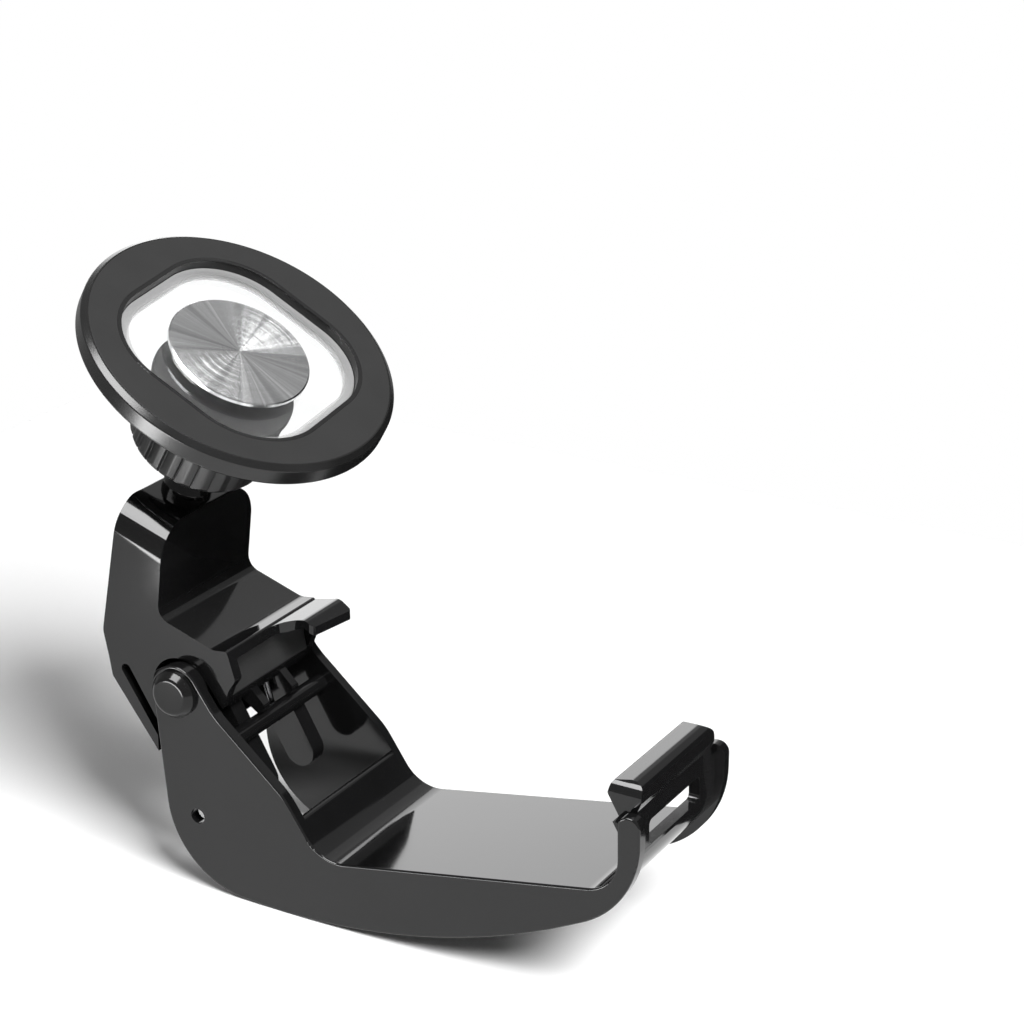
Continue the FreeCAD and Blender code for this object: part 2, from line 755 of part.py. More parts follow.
def tongue():
    # Flared end of the lip on the far side: plan outline and side outline together
    half = ARM_WIDTH / 2
    plan = [
        (SHELF_END_X - 1, half, 0),
        (SHELF_END_X - 1, -3.0, 0),
        (LIP_X - 0.6, -4.5, 1.0),
        (LIP_X + 1.2, TONGUE_NEAR_Y + 0.4, TONGUE_ROOT_R),
        (TONGUE_X - 0.9, TONGUE_NEAR_Y, 1.0),
        (TONGUE_X, half, 0.6),
    ]
    wire = rounded_wire(plan, lambda x, y: vec(x, y, LIP_Z - 10))
    space = Part.Face(wire).extrude(vec(0, 0, 20))
    crest = LIP_Z + TONGUE_RISE
    side = [
        (SHELF_END_X, SHELF_END_Z - 0.6, 0),
        (LIP_X, LIP_Z - 0.3, 6.0),
        (TONGUE_X - 2.6, crest, 2.0),
        (TONGUE_X + 0.6, crest - 2.2, 0),
        (TONGUE_X + 0.2, crest - 2.2 - TONGUE_T, 0),
        (TONGUE_X - 2.8, crest - TONGUE_T - 0.1, 1.5),
        (LIP_X + 1, LIP_Z - TONGUE_T - 0.9, 3.0),
        (SHELF_END_X, SHELF_END_Z - 3.5, 0),
    ]
    return side_prism(side, -half, half).common(space)


def jaw_recess(grow):
    # Space of the rubber pad in the jaw's front, with its hollow face
    front = LIP_X - 0.2
    wire = [
        (front, LIP_Z - 2.0 + grow, 0),
        (front - PAD_T - grow, LIP_Z - 2.0 + grow, 0.4),
        (front - PAD_T - 0.6 - grow, NOSE_Z, 4.0),
        (front - PAD_T - 0.5 - grow, NOSE_TIP_Z + 2.2 - grow, 0.4),
        (front - 0.3, NOSE_TIP_Z + 2.2 - grow, 0.6),
        (front - 1.1, NOSE_Z, 6.0),
    ]
    half = PAD_HALF_W + grow
    return side_prism(wire, -half, half)


def jaw_mouth():
    # Open space before the pad, between the jaw's two side cheeks
    front = LIP_X - 0.2
    back = front - 4 * PAD_FIT
    wire = [
        (back, LIP_Z - 2.0, 0),
        (back - 1.1, NOSE_Z, 6.0),
        (back - 0.3, NOSE_TIP_Z + 2.2, 0),
        (front + 6, NOSE_TIP_Z + 2.2, 0),
        (front + 6, LIP_Z - 2.0, 0),
    ]
    return side_prism(wire, -PAD_HALF_W, PAD_HALF_W)


def stud_direction():
    ux, uz = unit(90 - ARM_TOP_SLOPE)
    return vec(ux, 0, uz)


def stud_base():
    return vec(ARM_TOP_X, 0, ARM_TOP_Z)


def arm():
    body = side_prism(arm_outline(), -ARM_WIDTH / 2, ARM_WIDTH / 2)
    body = body.common(shoulder_space(0))
    body = body.fuse(tongue())
    body = body.cut(cavity()).cut(pivot_notch())
    body = body.fuse(lugs()).removeSplitter()
    body = body.cut(jaw_mouth()).cut(jaw_recess(PAD_FIT))
    way = stud_direction()
    # Wide for the insert, then narrow for the shank's end, which keeps the post's back wall whole
    bore = Part.makeCylinder(INSERT_R + THREAD_FIT, INSERT_SINK + INSERT_LENGTH + THREAD_FIT, stud_base(), way * -1)
    bore = bore.fuse(Part.makeCylinder(SHANK_R + SHANK_SPACE / 2, SHANK_LENGTH + SHANK_SPACE, stud_base(), way * -1))
    pin = bar_y(0, 0, PIN_R + PIN_FIT, -ARM_WIDTH, ARM_WIDTH)
    return body.cut(bore).cut(pin)


def jaw_pad():
    return jaw_recess(0)


# Ball stud, drawn along +Z from the arm's top, then laid along its own direction

def along_stud(shape):
    shape.rotate(vec(0, 0, 0), vec(0, 1, 0), ARM_TOP_SLOPE)
    shape.translate(stud_base())
    return shape


def ball_stud():
    neck_top = STUD_LENGTH - math.sqrt(BALL_R ** 2 - NECK_R ** 2)
    profile = [
        (0, -SHANK_LENGTH, 0),
        (SHANK_R - 0.4, -SHANK_LENGTH, 0),
        (SHANK_R, -SHANK_LENGTH + 0.4, 0),
        (SHANK_R, WASHER_T, 0),
        (FOOT_R, WASHER_T, 0),
        (FOOT_R, WASHER_T + FOOT_T, 0.3),
        (NECK_R, WASHER_T + FOOT_T + 3.6, 2.0),
        (NECK_R, neck_top + 1, 0),
        (0, neck_top + 1, 0),
    ]
    ball = Part.makeSphere(BALL_R, vec(0, 0, STUD_LENGTH))
    return along_stud(turned(profile).fuse(ball).removeSplitter())


def stud_washer():
    return along_stud(ring_z(WASHER_R, SHANK_R + THREAD_FIT, 0, WASHER_T))


def brass_insert():
    return along_stud(ring_z(INSERT_R, SHANK_R + THREAD_FIT, -INSERT_LENGTH - INSERT_SINK, -INSERT_SINK))


# Head, drawn along +Z from the ball's centre, then laid along its own axis

def along_head(shape):
    shape.rotate(vec(0, 0, 0), vec(0, 0, 1), HEAD_YAW)
    shape.rotate(vec(0, 0, 0), vec(1, 0, 0), -HEAD_LEAN)
    shape.rotate(vec(0, 0, 0), vec(0, 1, 0), HEAD_TILT)
    shape.translate(stud_base() + stud_direction() * STUD_LENGTH)
    return shape


def ball_liner():
    inner = BALL_R + LINER_FIT
    outer = inner + LINER_T
    shell = Part.makeSphere(outer).cut(Part.makeSphere(inner))
    height = outer - LINER_LOW
    keep = Part.makeBox(4 * outer, 4 * outer, height, vec(-2 * outer, -2 * outer, LINER_LOW))
    hole = Part.makeCylinder(NECK_R, 3 * outer, vec(0, 0, 0))
    return along_head(shell.common(keep).cut(hole))


def cup_radius():
    return BALL_R + LINER_T + 2 * LINER_FIT


def socket():
    # Collet that grips the liner, its flange, its neck and the head below the clear plate
    flange_top = COLLET_TOP + FLANGE_T
    profile = [
        (0, COLLET_LOW, 0),
        (COLLET_LOW_R, COLLET_LOW, 0),
        (COLLET_R, 0.5, 0),
        (COLLET_R, COLLET_TOP, 0),
        (FLANGE_R, COLLET_TOP, 0),
        (FLANGE_R, flange_top, 0.3),
        (SOCKET_NECK_R, flange_top, SOCKET_FILLET_R),
        (SOCKET_NECK_R, PLATE_LOW - SOCKET_HEAD_T, 1.4),
        (SOCKET_HEAD_R, PLATE_LOW - SOCKET_HEAD_T, 0),
        (SOCKET_HEAD_R, PLATE_LOW, 0),
        (0, PLATE_LOW, 0),
    ]
    body = turned(profile).cut(Part.makeSphere(cup_radius()))
    slit = Part.makeBox(2 * COLLET_R, COLLET_SLIT_W, COLLET_TOP - COLLET_LOW - 1.5,
                        vec(BALL_R * 0.6, -COLLET_SLIT_W / 2, COLLET_LOW - 0.5))
    for i in range(COLLET_SLITS):
        body = body.cut(polar(slit, COLLET_SLITS, i))
    depth = SCREW_LENGTH - PLATE_THICK + 0.6
    bore = Part.makeCylinder(SCREW_R + THREAD_FIT, depth, vec(0, 0, PLATE_LOW - depth))
    return along_head(body.cut(bore))


def lock_nut():
    # Ribbed nut with a cone inside that closes the collet on the ball
    top = COLLET_TOP - NUT_TOP_GAP
    fit = NUT_FIT
    profile = [
        (COLLET_R + fit, top, 0),
        (COLLET_R + fit, 0.5, 0),
        (COLLET_LOW_R + fit + 0.2, COLLET_LOW - 0.4, 0),
        (NUT_MOUTH_R, COLLET_LOW - 1.0, 0),
        (NUT_MOUTH_R, NUT_LOW, 0),
        (NUT_R - NUT_BEVEL, NUT_LOW, 0),
        (NUT_R, NUT_LOW + NUT_BEVEL * 1.6, 0),
        (NUT_R, top - NUT_BEVEL, 0),
        (NUT_R - NUT_BEVEL, top, 0),
    ]
    body = turned(profile)
    # Saw-tooth ribs: a steep step, then a long ramp back to the full radius
    height = top - NUT_LOW + 2
    ramp = math.degrees(NUT_RIB_RAMP / NUT_R)
    over = 0.2
    step = polar_point(NUT_R - NUT_RIB_DEPTH, 0)
    outside = polar_point(NUT_R + 1, -1.5)
    start = polar_point(NUT_R + over, -1.2)
    end = polar_point(NUT_R + over / 2, ramp)
    far = polar_point(NUT_R + 1, ramp)
    points = [vec(x, y, NUT_LOW - 1) for x, y in (step, end, far, outside, start)]
    tooth = Part.Face(Part.makePolygon(points + [points[0]])).extrude(vec(0, 0, height))
    for i in range(NUT_RIBS):
        body = body.cut(polar(tooth, NUT_RIBS, i))
    return along_head(body)


def squircle(half, corner, low, high):
    corners = [(-half, -half, corner), (half, -half, corner), (half, half, corner), (-half, half, corner)]
    wire = rounded_wire(corners, lambda x, y: vec(x, y, low))
    return Part.Face(wire).extrude(vec(0, 0, high - low))


def ring_top():
    return PLATE_LOW + RING_RISE


def ring_housing():
    top = ring_top()
    profile = [
        (0, PLATE_LOW, 0),
        (RING_R - 0.4, PLATE_LOW, 0.3),
        (RING_R, PLATE_LOW + 0.5, 0.6),
        (RING_R, top - RING_ROUND, RING_ROUND * 0.5),
        (RING_R - RING_PAD_RIM + 0.2, top - 0.05, 0.3),
        (0, top - 0.05, 0),
    ]
    body = turned(profile)
    body = body.cut(squircle(OPENING_HALF, OPENING_CORNER_R, PLATE_LOW - 1, top + 1))
    body = body.cut(ring_pad_space(RING_FIT))
    channel = ring_z(CHANNEL_OUT_R, CHANNEL_IN_R, PLATE_LOW + RING_COVER_T, ring_top() - RING_PAD_T - CHANNEL_ROOF)
    step = ring_z(CHANNEL_OUT_R + RING_STEP, CHANNEL_IN_R - RING_STEP, PLATE_LOW - 1, PLATE_LOW + RING_COVER_T)
    return along_head(body.cut(channel).cut(step))


def ring_pad_space(grow):
    top = ring_top()
    inner = OPENING_HALF + RING_PAD_INNER - grow
    radius = OPENING_CORNER_R + RING_PAD_INNER - grow
    disc = Part.makeCylinder(RING_R - RING_PAD_RIM + grow, RING_PAD_T + grow * 2, vec(0, 0, top - RING_PAD_T))
    return disc.cut(squircle(inner, radius, top - 3, top + 3))


def ring_pad():
    top = ring_top()
    pad = ring_pad_space(0)
    keep = Part.makeCylinder(RING_R, RING_PAD_T, vec(0, 0, top - RING_PAD_T))
    return along_head(pad.common(keep))


def ring_cover():
    fit = RING_FIT
    return along_head(ring_z(CHANNEL_OUT_R + RING_STEP - fit, CHANNEL_IN_R - RING_STEP + fit,
                             PLATE_LOW, PLATE_LOW + RING_COVER_T))


def channel_roof():
    return ring_top() - RING_PAD_T - CHANNEL_ROOF


def magnet_top():
    return channel_roof() - RING_FIT


def yoke_ring():
    high = magnet_top() - MAGNET_T
    return along_head(ring_z(CHANNEL_OUT_R - 0.1, CHANNEL_IN_R + 0.1, high - YOKE_T, high))


def magnets():
    # Ring of arc magnets with narrow splits between them
    top = magnet_top()
    arc = ring_z(CHANNEL_OUT_R - 0.15, CHANNEL_IN_R + 0.15, top - MAGNET_T, top)
    sweep = 360.0 / MAGNETS
    gap = math.degrees(MAGNET_SPLIT / CHANNEL_OUT_R)
    wide = 2 * RING_R
    a = unit(gap / 2)
    b = unit(sweep - gap / 2)
    points = [vec(0, 0, top - 5), vec(a[0] * wide, a[1] * wide, top - 5), vec(b[0] * wide, b[1] * wide, top - 5)]
    wedge = Part.Face(Part.makePolygon(points + [points[0]])).extrude(vec(0, 0, 10))
    one = arc.common(wedge)
    return along_head(Part.makeCompound([polar(one, MAGNETS, i) for i in range(MAGNETS)]))


def clear_plate():
    half = OPENING_HALF - PLATE_FIT
    corner = OPENING_CORNER_R - PLATE_FIT
    top = PLATE_LOW + PLATE_THICK
    plate = squircle(half, corner, PLATE_LOW, top)
    bore = Part.makeCylinder(SCREW_R + THREAD_FIT, PLATE_THICK + 2, vec(0, 0, PLATE_LOW - 1))
    sink = Part.makeCone(SCREW_R + THREAD_FIT, SCREW_HEAD_R + 0.1, SCREW_HEAD_R - SCREW_R,
                         vec(0, 0, top - 0.3 - SCREW_HEAD_R + SCREW_R))
    rim = Part.makeCylinder(SCREW_HEAD_R + 0.1, 1.0, vec(0, 0, top - 0.3))
    return along_head(plate.cut(bore).cut(sink).cut(rim))


def socket_screw():
    top = PLATE_LOW + PLATE_THICK - 0.3
    cone = SCREW_HEAD_R - SCREW_R
    profile = [
        (0, top - SCREW_LENGTH, 0),
        (SCREW_R, top - SCREW_LENGTH, 0),
        (SCREW_R, top - cone, 0),
        (SCREW_HEAD_R, top, 0),
        (0, top, 0),
    ]
    body = turned(profile)
    return along_head(body.cut(Part.makeCylinder(SCREW_SOCKET_R, 1.4, vec(0, 0, top - 1.2))))


def metal_disc():
    low = PLATE_LOW + PLATE_THICK
    profile = [
        (0, low, 0),
        (DISC_R, low, 0),
        (DISC_R, low + DISC_T - 0.2, 0),
        (DISC_R - 0.25, low + DISC_T, 0),
        (0, low + DISC_T, 0),
    ]
    return along_head(turned(profile))


def save(name, shape):
    shape = shape.copy()
    shape.translate(vec(-SEAT_REACH, 0, SEAT_DROP))
    shape.exportStep(f"parts/{name}.step")
    print(name, "solids", len(shape.Solids), "valid", shape.isValid(), "volume", round(shape.Volume, 1))


def main():
    os.makedirs("parts", exist_ok=True)
    pieces = {
        "cradle": cradle,
        "pivot_pin": pivot_pin,
        "pin_cap": pin_cap,
        "spring_bush": spring_bush,
        "closing_spring": closing_spring,
        "arm": arm,
        "jaw_pad": jaw_pad,
        "brass_insert": brass_insert,
        "ball_stud": ball_stud,
        "stud_washer": stud_washer,
        "ball_liner": ball_liner,
        "socket": socket,
        "lock_nut": lock_nut,
        "clear_plate": clear_plate,
        "socket_screw": socket_screw,
        "metal_disc": metal_disc,
        "ring_housing": ring_housing,
        "ring_cover": ring_cover,
        "yoke_ring": yoke_ring,
        "magnets": magnets,
        "ring_pad": ring_pad,
    }
    for name, make in pieces.items():
        save(name, make())


main()
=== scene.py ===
"""Controller phone clip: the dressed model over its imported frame, with its studio."""
import json
import logging
import math
from collections import Counter
from dataclasses import dataclass, field
from enum import Enum
from typing import Any, Sequence

import bpy
from mathutils import Euler, Matrix, Vector

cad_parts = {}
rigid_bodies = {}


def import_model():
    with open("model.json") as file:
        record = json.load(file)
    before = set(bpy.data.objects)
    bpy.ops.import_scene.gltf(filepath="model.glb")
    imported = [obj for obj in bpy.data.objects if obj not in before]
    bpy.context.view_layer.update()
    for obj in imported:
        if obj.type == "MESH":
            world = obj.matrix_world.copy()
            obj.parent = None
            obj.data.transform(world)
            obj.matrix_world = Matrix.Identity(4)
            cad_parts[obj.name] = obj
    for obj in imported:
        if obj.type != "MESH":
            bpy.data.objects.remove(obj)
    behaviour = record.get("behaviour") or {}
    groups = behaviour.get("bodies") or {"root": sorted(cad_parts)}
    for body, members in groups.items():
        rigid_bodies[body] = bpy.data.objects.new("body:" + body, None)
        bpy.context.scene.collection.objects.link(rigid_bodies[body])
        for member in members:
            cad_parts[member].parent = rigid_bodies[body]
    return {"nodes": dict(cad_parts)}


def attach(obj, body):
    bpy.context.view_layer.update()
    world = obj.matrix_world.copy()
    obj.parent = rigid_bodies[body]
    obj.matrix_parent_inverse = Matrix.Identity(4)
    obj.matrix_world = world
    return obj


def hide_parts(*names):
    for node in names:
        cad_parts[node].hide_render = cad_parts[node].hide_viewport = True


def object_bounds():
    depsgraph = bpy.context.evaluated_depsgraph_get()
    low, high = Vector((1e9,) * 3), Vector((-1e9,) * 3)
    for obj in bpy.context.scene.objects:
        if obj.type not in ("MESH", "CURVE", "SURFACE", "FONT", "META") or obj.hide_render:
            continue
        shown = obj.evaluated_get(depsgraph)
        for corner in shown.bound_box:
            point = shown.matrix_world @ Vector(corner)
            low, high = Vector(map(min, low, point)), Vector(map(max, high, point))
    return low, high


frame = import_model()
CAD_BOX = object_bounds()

LOG = logging.getLogger("clip")
MM = 0.001
PIVOT = Vector((-60.0, 0.0, 21.4)) * MM
Point = tuple[float, float]
Corner = tuple[float, float, float]

SHARP = 35.0
FRAME_SHARP = 30.0
EDGE_FACETS = 2
EVEN_ROUNDED = 80
EVEN_PLAIN = 50
OPENING_HALF = 20.0
OPENING_CORNER = 14.2
STUD_FOOT = Vector((-8.45, 0.0, 32.75))
STUD_LEAN = 20.0
BALL_REACH = 14.9
HEAD_TILT = 31.0
HEAD_LEAN = 5.3
HEAD_ROLL = 5.0
WHITE = (1.0, 1.0, 1.0, 1.0)


class Body(Enum):
    """The rigid bodies that pieces ride on."""

    BASE = "base"
    JAW = "jaw"
    STUD = "stud"
    LINER = "liner"
    HEAD = "head"
    NUT = "nut"


class Sock:
    """A shader socket whose operators add Math nodes."""

    def __init__(self, shader: "Shader", socket: bpy.types.NodeSocket) -> None:
        """Wraps one output socket.

        Args:
            shader: The builder of the socket's nodes.
            socket: The output socket that carries the value.
        """
        self.shader = shader
        self.socket = socket

    def math(self, operation: str, *others: Any) -> "Sock":
        """Adds one Math node.

        Args:
            operation: Blender's name of the operation.
            others: The remaining operands, numbers or sockets.

        Returns:
            The node's result.
        """
        values = dict(enumerate((self, *others)))
        return self.shader.node("ShaderNodeMath", {"operation": operation}, values)

    def __add__(self, other: Any) -> "Sock":
        """Sum."""
        return self.math("ADD", other)

    def __radd__(self, other: Any) -> "Sock":
        """Sum with the number first."""
        return self.math("ADD", other)

    def __mul__(self, other: Any) -> "Sock":
        """Product."""
        return self.math("MULTIPLY", other)

    def __rmul__(self, other: Any) -> "Sock":
        """Product with the number first."""
        return self.math("MULTIPLY", other)

    def clamped(self) -> "Sock":
        """The value held between 0 and 1."""
        return self.shader.node("ShaderNodeClamp", {}, {0: self})

    def spread(self, low: float, high: float) -> "Sock":
        """A value between 0 and 1, spread over a range.

        Args:
            low: The result at 0.
            high: The result at 1.

        Returns:
            The spread value.
        """
        return self * (high - low) + low


class Shader:
    """Builds the nodes of one material, or of the sky."""

    def __init__(self, owner: bpy.types.Material | bpy.types.World) -> None:
        """Empties the owner's nodes.

        Args:
            owner: The material or the world under construction.
        """
        self.owner = owner
        owner.use_nodes = True
        self.tree = owner.node_tree
        self.tree.nodes.clear()

    @classmethod
    def named(cls, name: str) -> "Shader":
        """Starts a new material.

        Args:
            name: The material's name.

        Returns:
            Its builder.
        """
        return cls(bpy.data.materials.new(name))

    def node(
        self, kind: str, settings: dict[str, Any], values: dict[Any, Any], output: int | str = 0,
    ) -> Sock:
        """Adds any node.

        Args:
            kind: Blender's node type.
            settings: Attributes to set first; "stops" fills a colour ramp.
            values: Numbers, colours or sockets by socket name or index.
            output: Name or index of the output to return.

        Returns:
            The chosen output.
        """
        made = self.tree.nodes.new(kind)
        for key, value in settings.items():
            if key == "stops":
                self.fill_ramp(made.color_ramp, value)
            else:
                setattr(made, key, value)
        for key, value in values.items():
            if isinstance(value, Sock):
                self.tree.links.new(value.socket, made.inputs[key])
            else:
                made.inputs[key].default_value = value
        return Sock(self, made.outputs[output])

    @staticmethod
    def fill_ramp(ramp: bpy.types.ColorRamp, stops: Sequence[tuple[float, float]]) -> None:
        """Sets a ramp's stops to greys.

        Args:
            ramp: The ramp.
            stops: Pairs of place and grey level.
        """
        while len(ramp.elements) < len(stops):
            ramp.elements.new(0.5)
        for element, (place, grey) in zip(ramp.elements, stops):
            element.position = place
            element.color = (grey, grey, grey, 1.0)

    def vector(self, operation: str, *operands: Any) -> Sock:
        """Adds one Vector Math node.

        Args:
            operation: Blender's name of the operation.
            operands: Vectors or sockets, in order.

        Returns:
            The vector, or the number where the operation is a length.
        """
        output = "Value" if operation == "LENGTH" else "Vector"
        settings = {"operation": operation}
        return self.node("ShaderNodeVectorMath", settings, dict(enumerate(operands)), output)

    def place(self) -> Sock:
        """The piece's own coordinates, in metres."""
        return self.node("ShaderNodeTexCoord", {}, {}, "Object")

    def turned_place(self, seat: Matrix) -> Sock:
        """Coordinates in a piece's own turned frame.

        Args:
            seat: The matrix that laid the piece in the row frame.

        Returns:
            The coordinates before that matrix.
        """
        values = {"Vector": self.place(), "Location": seat.translation, "Rotation": seat.to_euler()}
        return self.node("ShaderNodeMapping", {"vector_type": "TEXTURE"}, values)

    def noise(self, scale: float, detail: float = 3.0, at: Sock | None = None) -> Sock:
        """Cloudy noise.

        Args:
            scale: Features per metre.
            detail: Octaves.
            at: Coordinates, or None for the piece's own.

        Returns:
            A value round 0.5.
        """
        values = {"Vector": at or self.place(), "Scale": scale, "Detail": detail}
        return self.node("ShaderNodeTexNoise", {}, values)

    def ramp(self, value: Sock, stops: Sequence[tuple[float, float]]) -> Sock:
        """A value through a grey ramp.

        Args:
            value: The input.
            stops: Pairs of place and level.

        Returns:
            The ramp's grey.
        """
        return self.node("ShaderNodeValToRGB", {"stops": stops}, {0: value})

    def tint(self, factor: Sock, low: Sequence[float], high: Sequence[float]) -> Sock:
        """A colour between two colours.

        Args:
            factor: Share of the second colour.
            low: First colour, linear RGB.
            high: Second colour, linear RGB.

        Returns:
            The mixed colour.
        """
        values = {0: factor, 6: (*low, 1.0), 7: (*high, 1.0)}
        return self.node("ShaderNodeMix", {"data_type": "RGBA"}, values, 2)

    def bump(self, height: Sock, strength: float, distance: float) -> Sock:
        """A normal from a height.

        Args:
            height: The height, round 0 to 1.
            strength: Share of the effect.
            distance: Height of 1, in metres.

        Returns:
            The bumped normal.
        """
        values = {"Strength": strength, "Distance": distance, "Height": height}
        return self.node("ShaderNodeBump", {}, values)

    def end(self, kind: str, shaded: Sock) -> None:
        """Links the last shader to the output.

        Args:
            kind: Blender's type of the output node.
            shaded: The last shader.
        """
        output = self.tree.nodes.new(kind)
        self.tree.links.new(shaded.socket, output.inputs["Surface"])

    def surface(
        self, values: dict[str, Any], second: dict[str, Any] | None = None, share: Sock | None = None,
    ) -> bpy.types.Material:
        """Ends the material with a Principled surface, or with a mix of two.

        Args:
            values: Sockets of the Principled node.
            second: Sockets of a second Principled node.
            share: Share of the second surface.

        Returns:
            The finished material.
        """
        shaded = self.node("ShaderNodeBsdfPrincipled", {}, values)
        if second is not None:
            other = self.node("ShaderNodeBsdfPrincipled", {}, second)
            shaded = self.node("ShaderNodeMixShader", {}, {0: share, 1: shaded, 2: other})
        self.end("ShaderNodeOutputMaterial", shaded)
        return self.owner


@dataclass(frozen=True)
class GlossPlastic:
    """Polished black moulded plastic with faint flow marks and handling scuffs."""

    name: str = "gloss_black_plastic"
    dark: float = 0.004
    light: float = 0.008
    smooth: float = 0.07
    rough: float = 0.16
    flow_scale: float = 90.0
    scuff_scale: float = 1400.0
    skin_scale: float = 260.0
    skin_depth: float = 0.00002

    def build(self) -> bpy.types.Material:
        """Builds the finish.

        Returns:
            The material.
        """
        shader = Shader.named(self.name)
        flow = shader.noise(self.flow_scale, 3.0)
        scuffs = shader.ramp(shader.noise(self.scuff_scale, 6.0), ((0.0, 0.0), (0.56, 0.0), (0.72, 1.0)))
        colour = shader.tint(flow, (self.dark,) * 3, (self.light, self.light, self.light * 1.05))
        roughness = (flow * 0.4 + scuffs * 0.35).clamped().spread(self.smooth, self.rough)
        skin = shader.noise(self.skin_scale, 2.0)
        normal = shader.bump(skin, 0.12, self.skin_depth)
        return shader.surface({
            "Base Color": colour, "Roughness": roughness, "Normal": normal,
            "Coat Weight": 0.12, "Coat Roughness": 0.05, "Specular IOR Level": 0.36,
        })


@dataclass(frozen=True)
class SatinPlastic:
    """Satin black plastic with a fine spark-eroded grain."""

    name: str = "matte_black_plastic"
    dark: float = 0.012
    light: float = 0.022
    smooth: float = 0.28
    rough: float = 0.42
    cloud_scale: float = 180.0
    grain_scale: float = 5200.0
    grain_depth: float = 0.00003

    def build(self) -> bpy.types.Material:
        """Builds the finish.

        Returns:
            The material.
        """
        shader = Shader.named(self.name)
        cloud = shader.noise(self.cloud_scale, 4.0)
        grain = shader.noise(self.grain_scale, 2.0)
        colour = shader.tint(cloud, (self.dark,) * 3, (self.light,) * 3)
        roughness = (cloud * 0.6 + grain * 0.4).clamped().spread(self.smooth, self.rough)
        normal = shader.bump(grain, 0.25, self.grain_depth)
        return shader.surface({"Base Color": colour, "Roughness": roughness, "Normal": normal})


@dataclass(frozen=True)
class SoftPad:
    """Matte grey-black rubber with a fine tooth and a little dust."""

    name: str = "black_rubber"
    dark: float = 0.022
    light: float = 0.032
    smooth: float = 0.56
    rough: float = 0.74
    cloud_scale: float = 120.0
    tooth_scale: float = 7000.0
    tooth_depth: float = 0.00004

    def build(self) -> bpy.types.Material:
        """Builds the finish.

        Returns:
            The material.
        """
        shader = Shader.named(self.name)
        cloud = shader.noise(self.cloud_scale, 5.0)
        tooth = shader.noise(self.tooth_scale, 2.0)
        colour = shader.tint(cloud, (self.dark,) * 3, (self.light,) * 3)
        roughness = cloud.spread(self.smooth, self.rough)
        normal = shader.bump(tooth, 0.3, self.tooth_depth)
        return shader.surface({
            "Base Color": colour, "Roughness": roughness, "Normal": normal, "Specular IOR Level": 0.25,
        })


@dataclass(frozen=True)
class BlackMetal:
    """Steel with a glossy black coat."""

    name: str = "black_steel"
    grey: float = 0.005
    smooth: float = 0.1
    rough: float = 0.2
    cloud_scale: float = 400.0
    skin_scale: float = 1500.0
    skin_depth: float = 0.00001

    def build(self) -> bpy.types.Material:
        """Builds the finish.

        Returns:
            The material.
        """
        shader = Shader.named(self.name)
        cloud = shader.noise(self.cloud_scale, 4.0)
        colour = shader.tint(cloud, (self.grey * 0.7,) * 3, (self.grey * 1.5,) * 3)
        roughness = cloud.spread(self.smooth, self.rough)
        normal = shader.bump(shader.noise(self.skin_scale, 2.0), 0.1, self.skin_depth)
        return shader.surface({
            "Base Color": colour, "Roughness": roughness, "Normal": normal,
            "Coat Weight": 0.15, "Coat Roughness": 0.08, "Specular IOR Level": 0.25,
        })


@dataclass(frozen=True)
class BareMetal:
    """Plain metal with drawn or plated grain."""

    name: str
    low: tuple[float, float, float]
    high: tuple[float, float, float]
    rough: float
    cloud_scale: float = 700.0
    grain_scale: float = 4000.0
    grain_depth: float = 0.00001

    def build(self) -> bpy.types.Material:
        """Builds the finish.

        Returns:
            The material.
        """
        shader = Shader.named(self.name)
        cloud = shader.noise(self.cloud_scale, 5.0)
        roughness = cloud.spread(self.rough * 0.7, self.rough * 1.3)
        normal = shader.bump(shader.noise(self.grain_scale, 3.0), 0.15, self.grain_depth)
        return shader.surface({
            "Base Color": shader.tint(cloud, self.low, self.high), "Metallic": 1.0,
            "Roughness": roughness, "Normal": normal,
        })


@dataclass(frozen=True)
class SpunDisc:
    """Aluminium faced on a lathe: fine rings that spread the light, and bright and dark sectors round the centre
    painted into its colour as a highlight.
    """

    seat: Matrix
    name: str = "spun_aluminium"
    ring_pitch: float = 0.0003
    # Noise scale of the painted highlight sectors round the centre.
    sweep: float = 3.4
    groove: float = 0.00012
    smooth: float = 0.18
    rough: float = 0.3

    def build(self) -> bpy.types.Material:
        """Builds the finish.

        Returns:
            The material.
        """
        shader = Shader.named(self.name)
        at = shader.turned_place(self.seat)
        flat = shader.vector("MULTIPLY", at, (1.0, 1.0, 0.0))
        radius = shader.vector("LENGTH", flat)
        line = shader.node("ShaderNodeCombineXYZ", {}, {0: radius * (1.0 / self.ring_pitch)})
        rings = shader.noise(1.0, 4.0, line)
        # Painted highlight: bright and dark sectors by angle round the centre, laid into the base colour.
        sweep = shader.noise(self.sweep, 3.0, shader.vector("NORMALIZE", flat))
        painted_sector_highlight = shader.ramp(sweep, ((0.0, 0.0), (0.4, 0.18), (0.52, 0.62), (0.6, 0.4), (0.68, 1.0)))
        colour = shader.tint(painted_sector_highlight, (0.42, 0.424, 0.428), (0.93, 0.935, 0.94))
        normal = shader.bump(rings, 0.9, self.groove)
        return shader.surface({
            "Base Color": colour, "Metallic": 1.0, "Normal": normal,
            "Roughness": rings.spread(self.smooth, self.rough),
        })


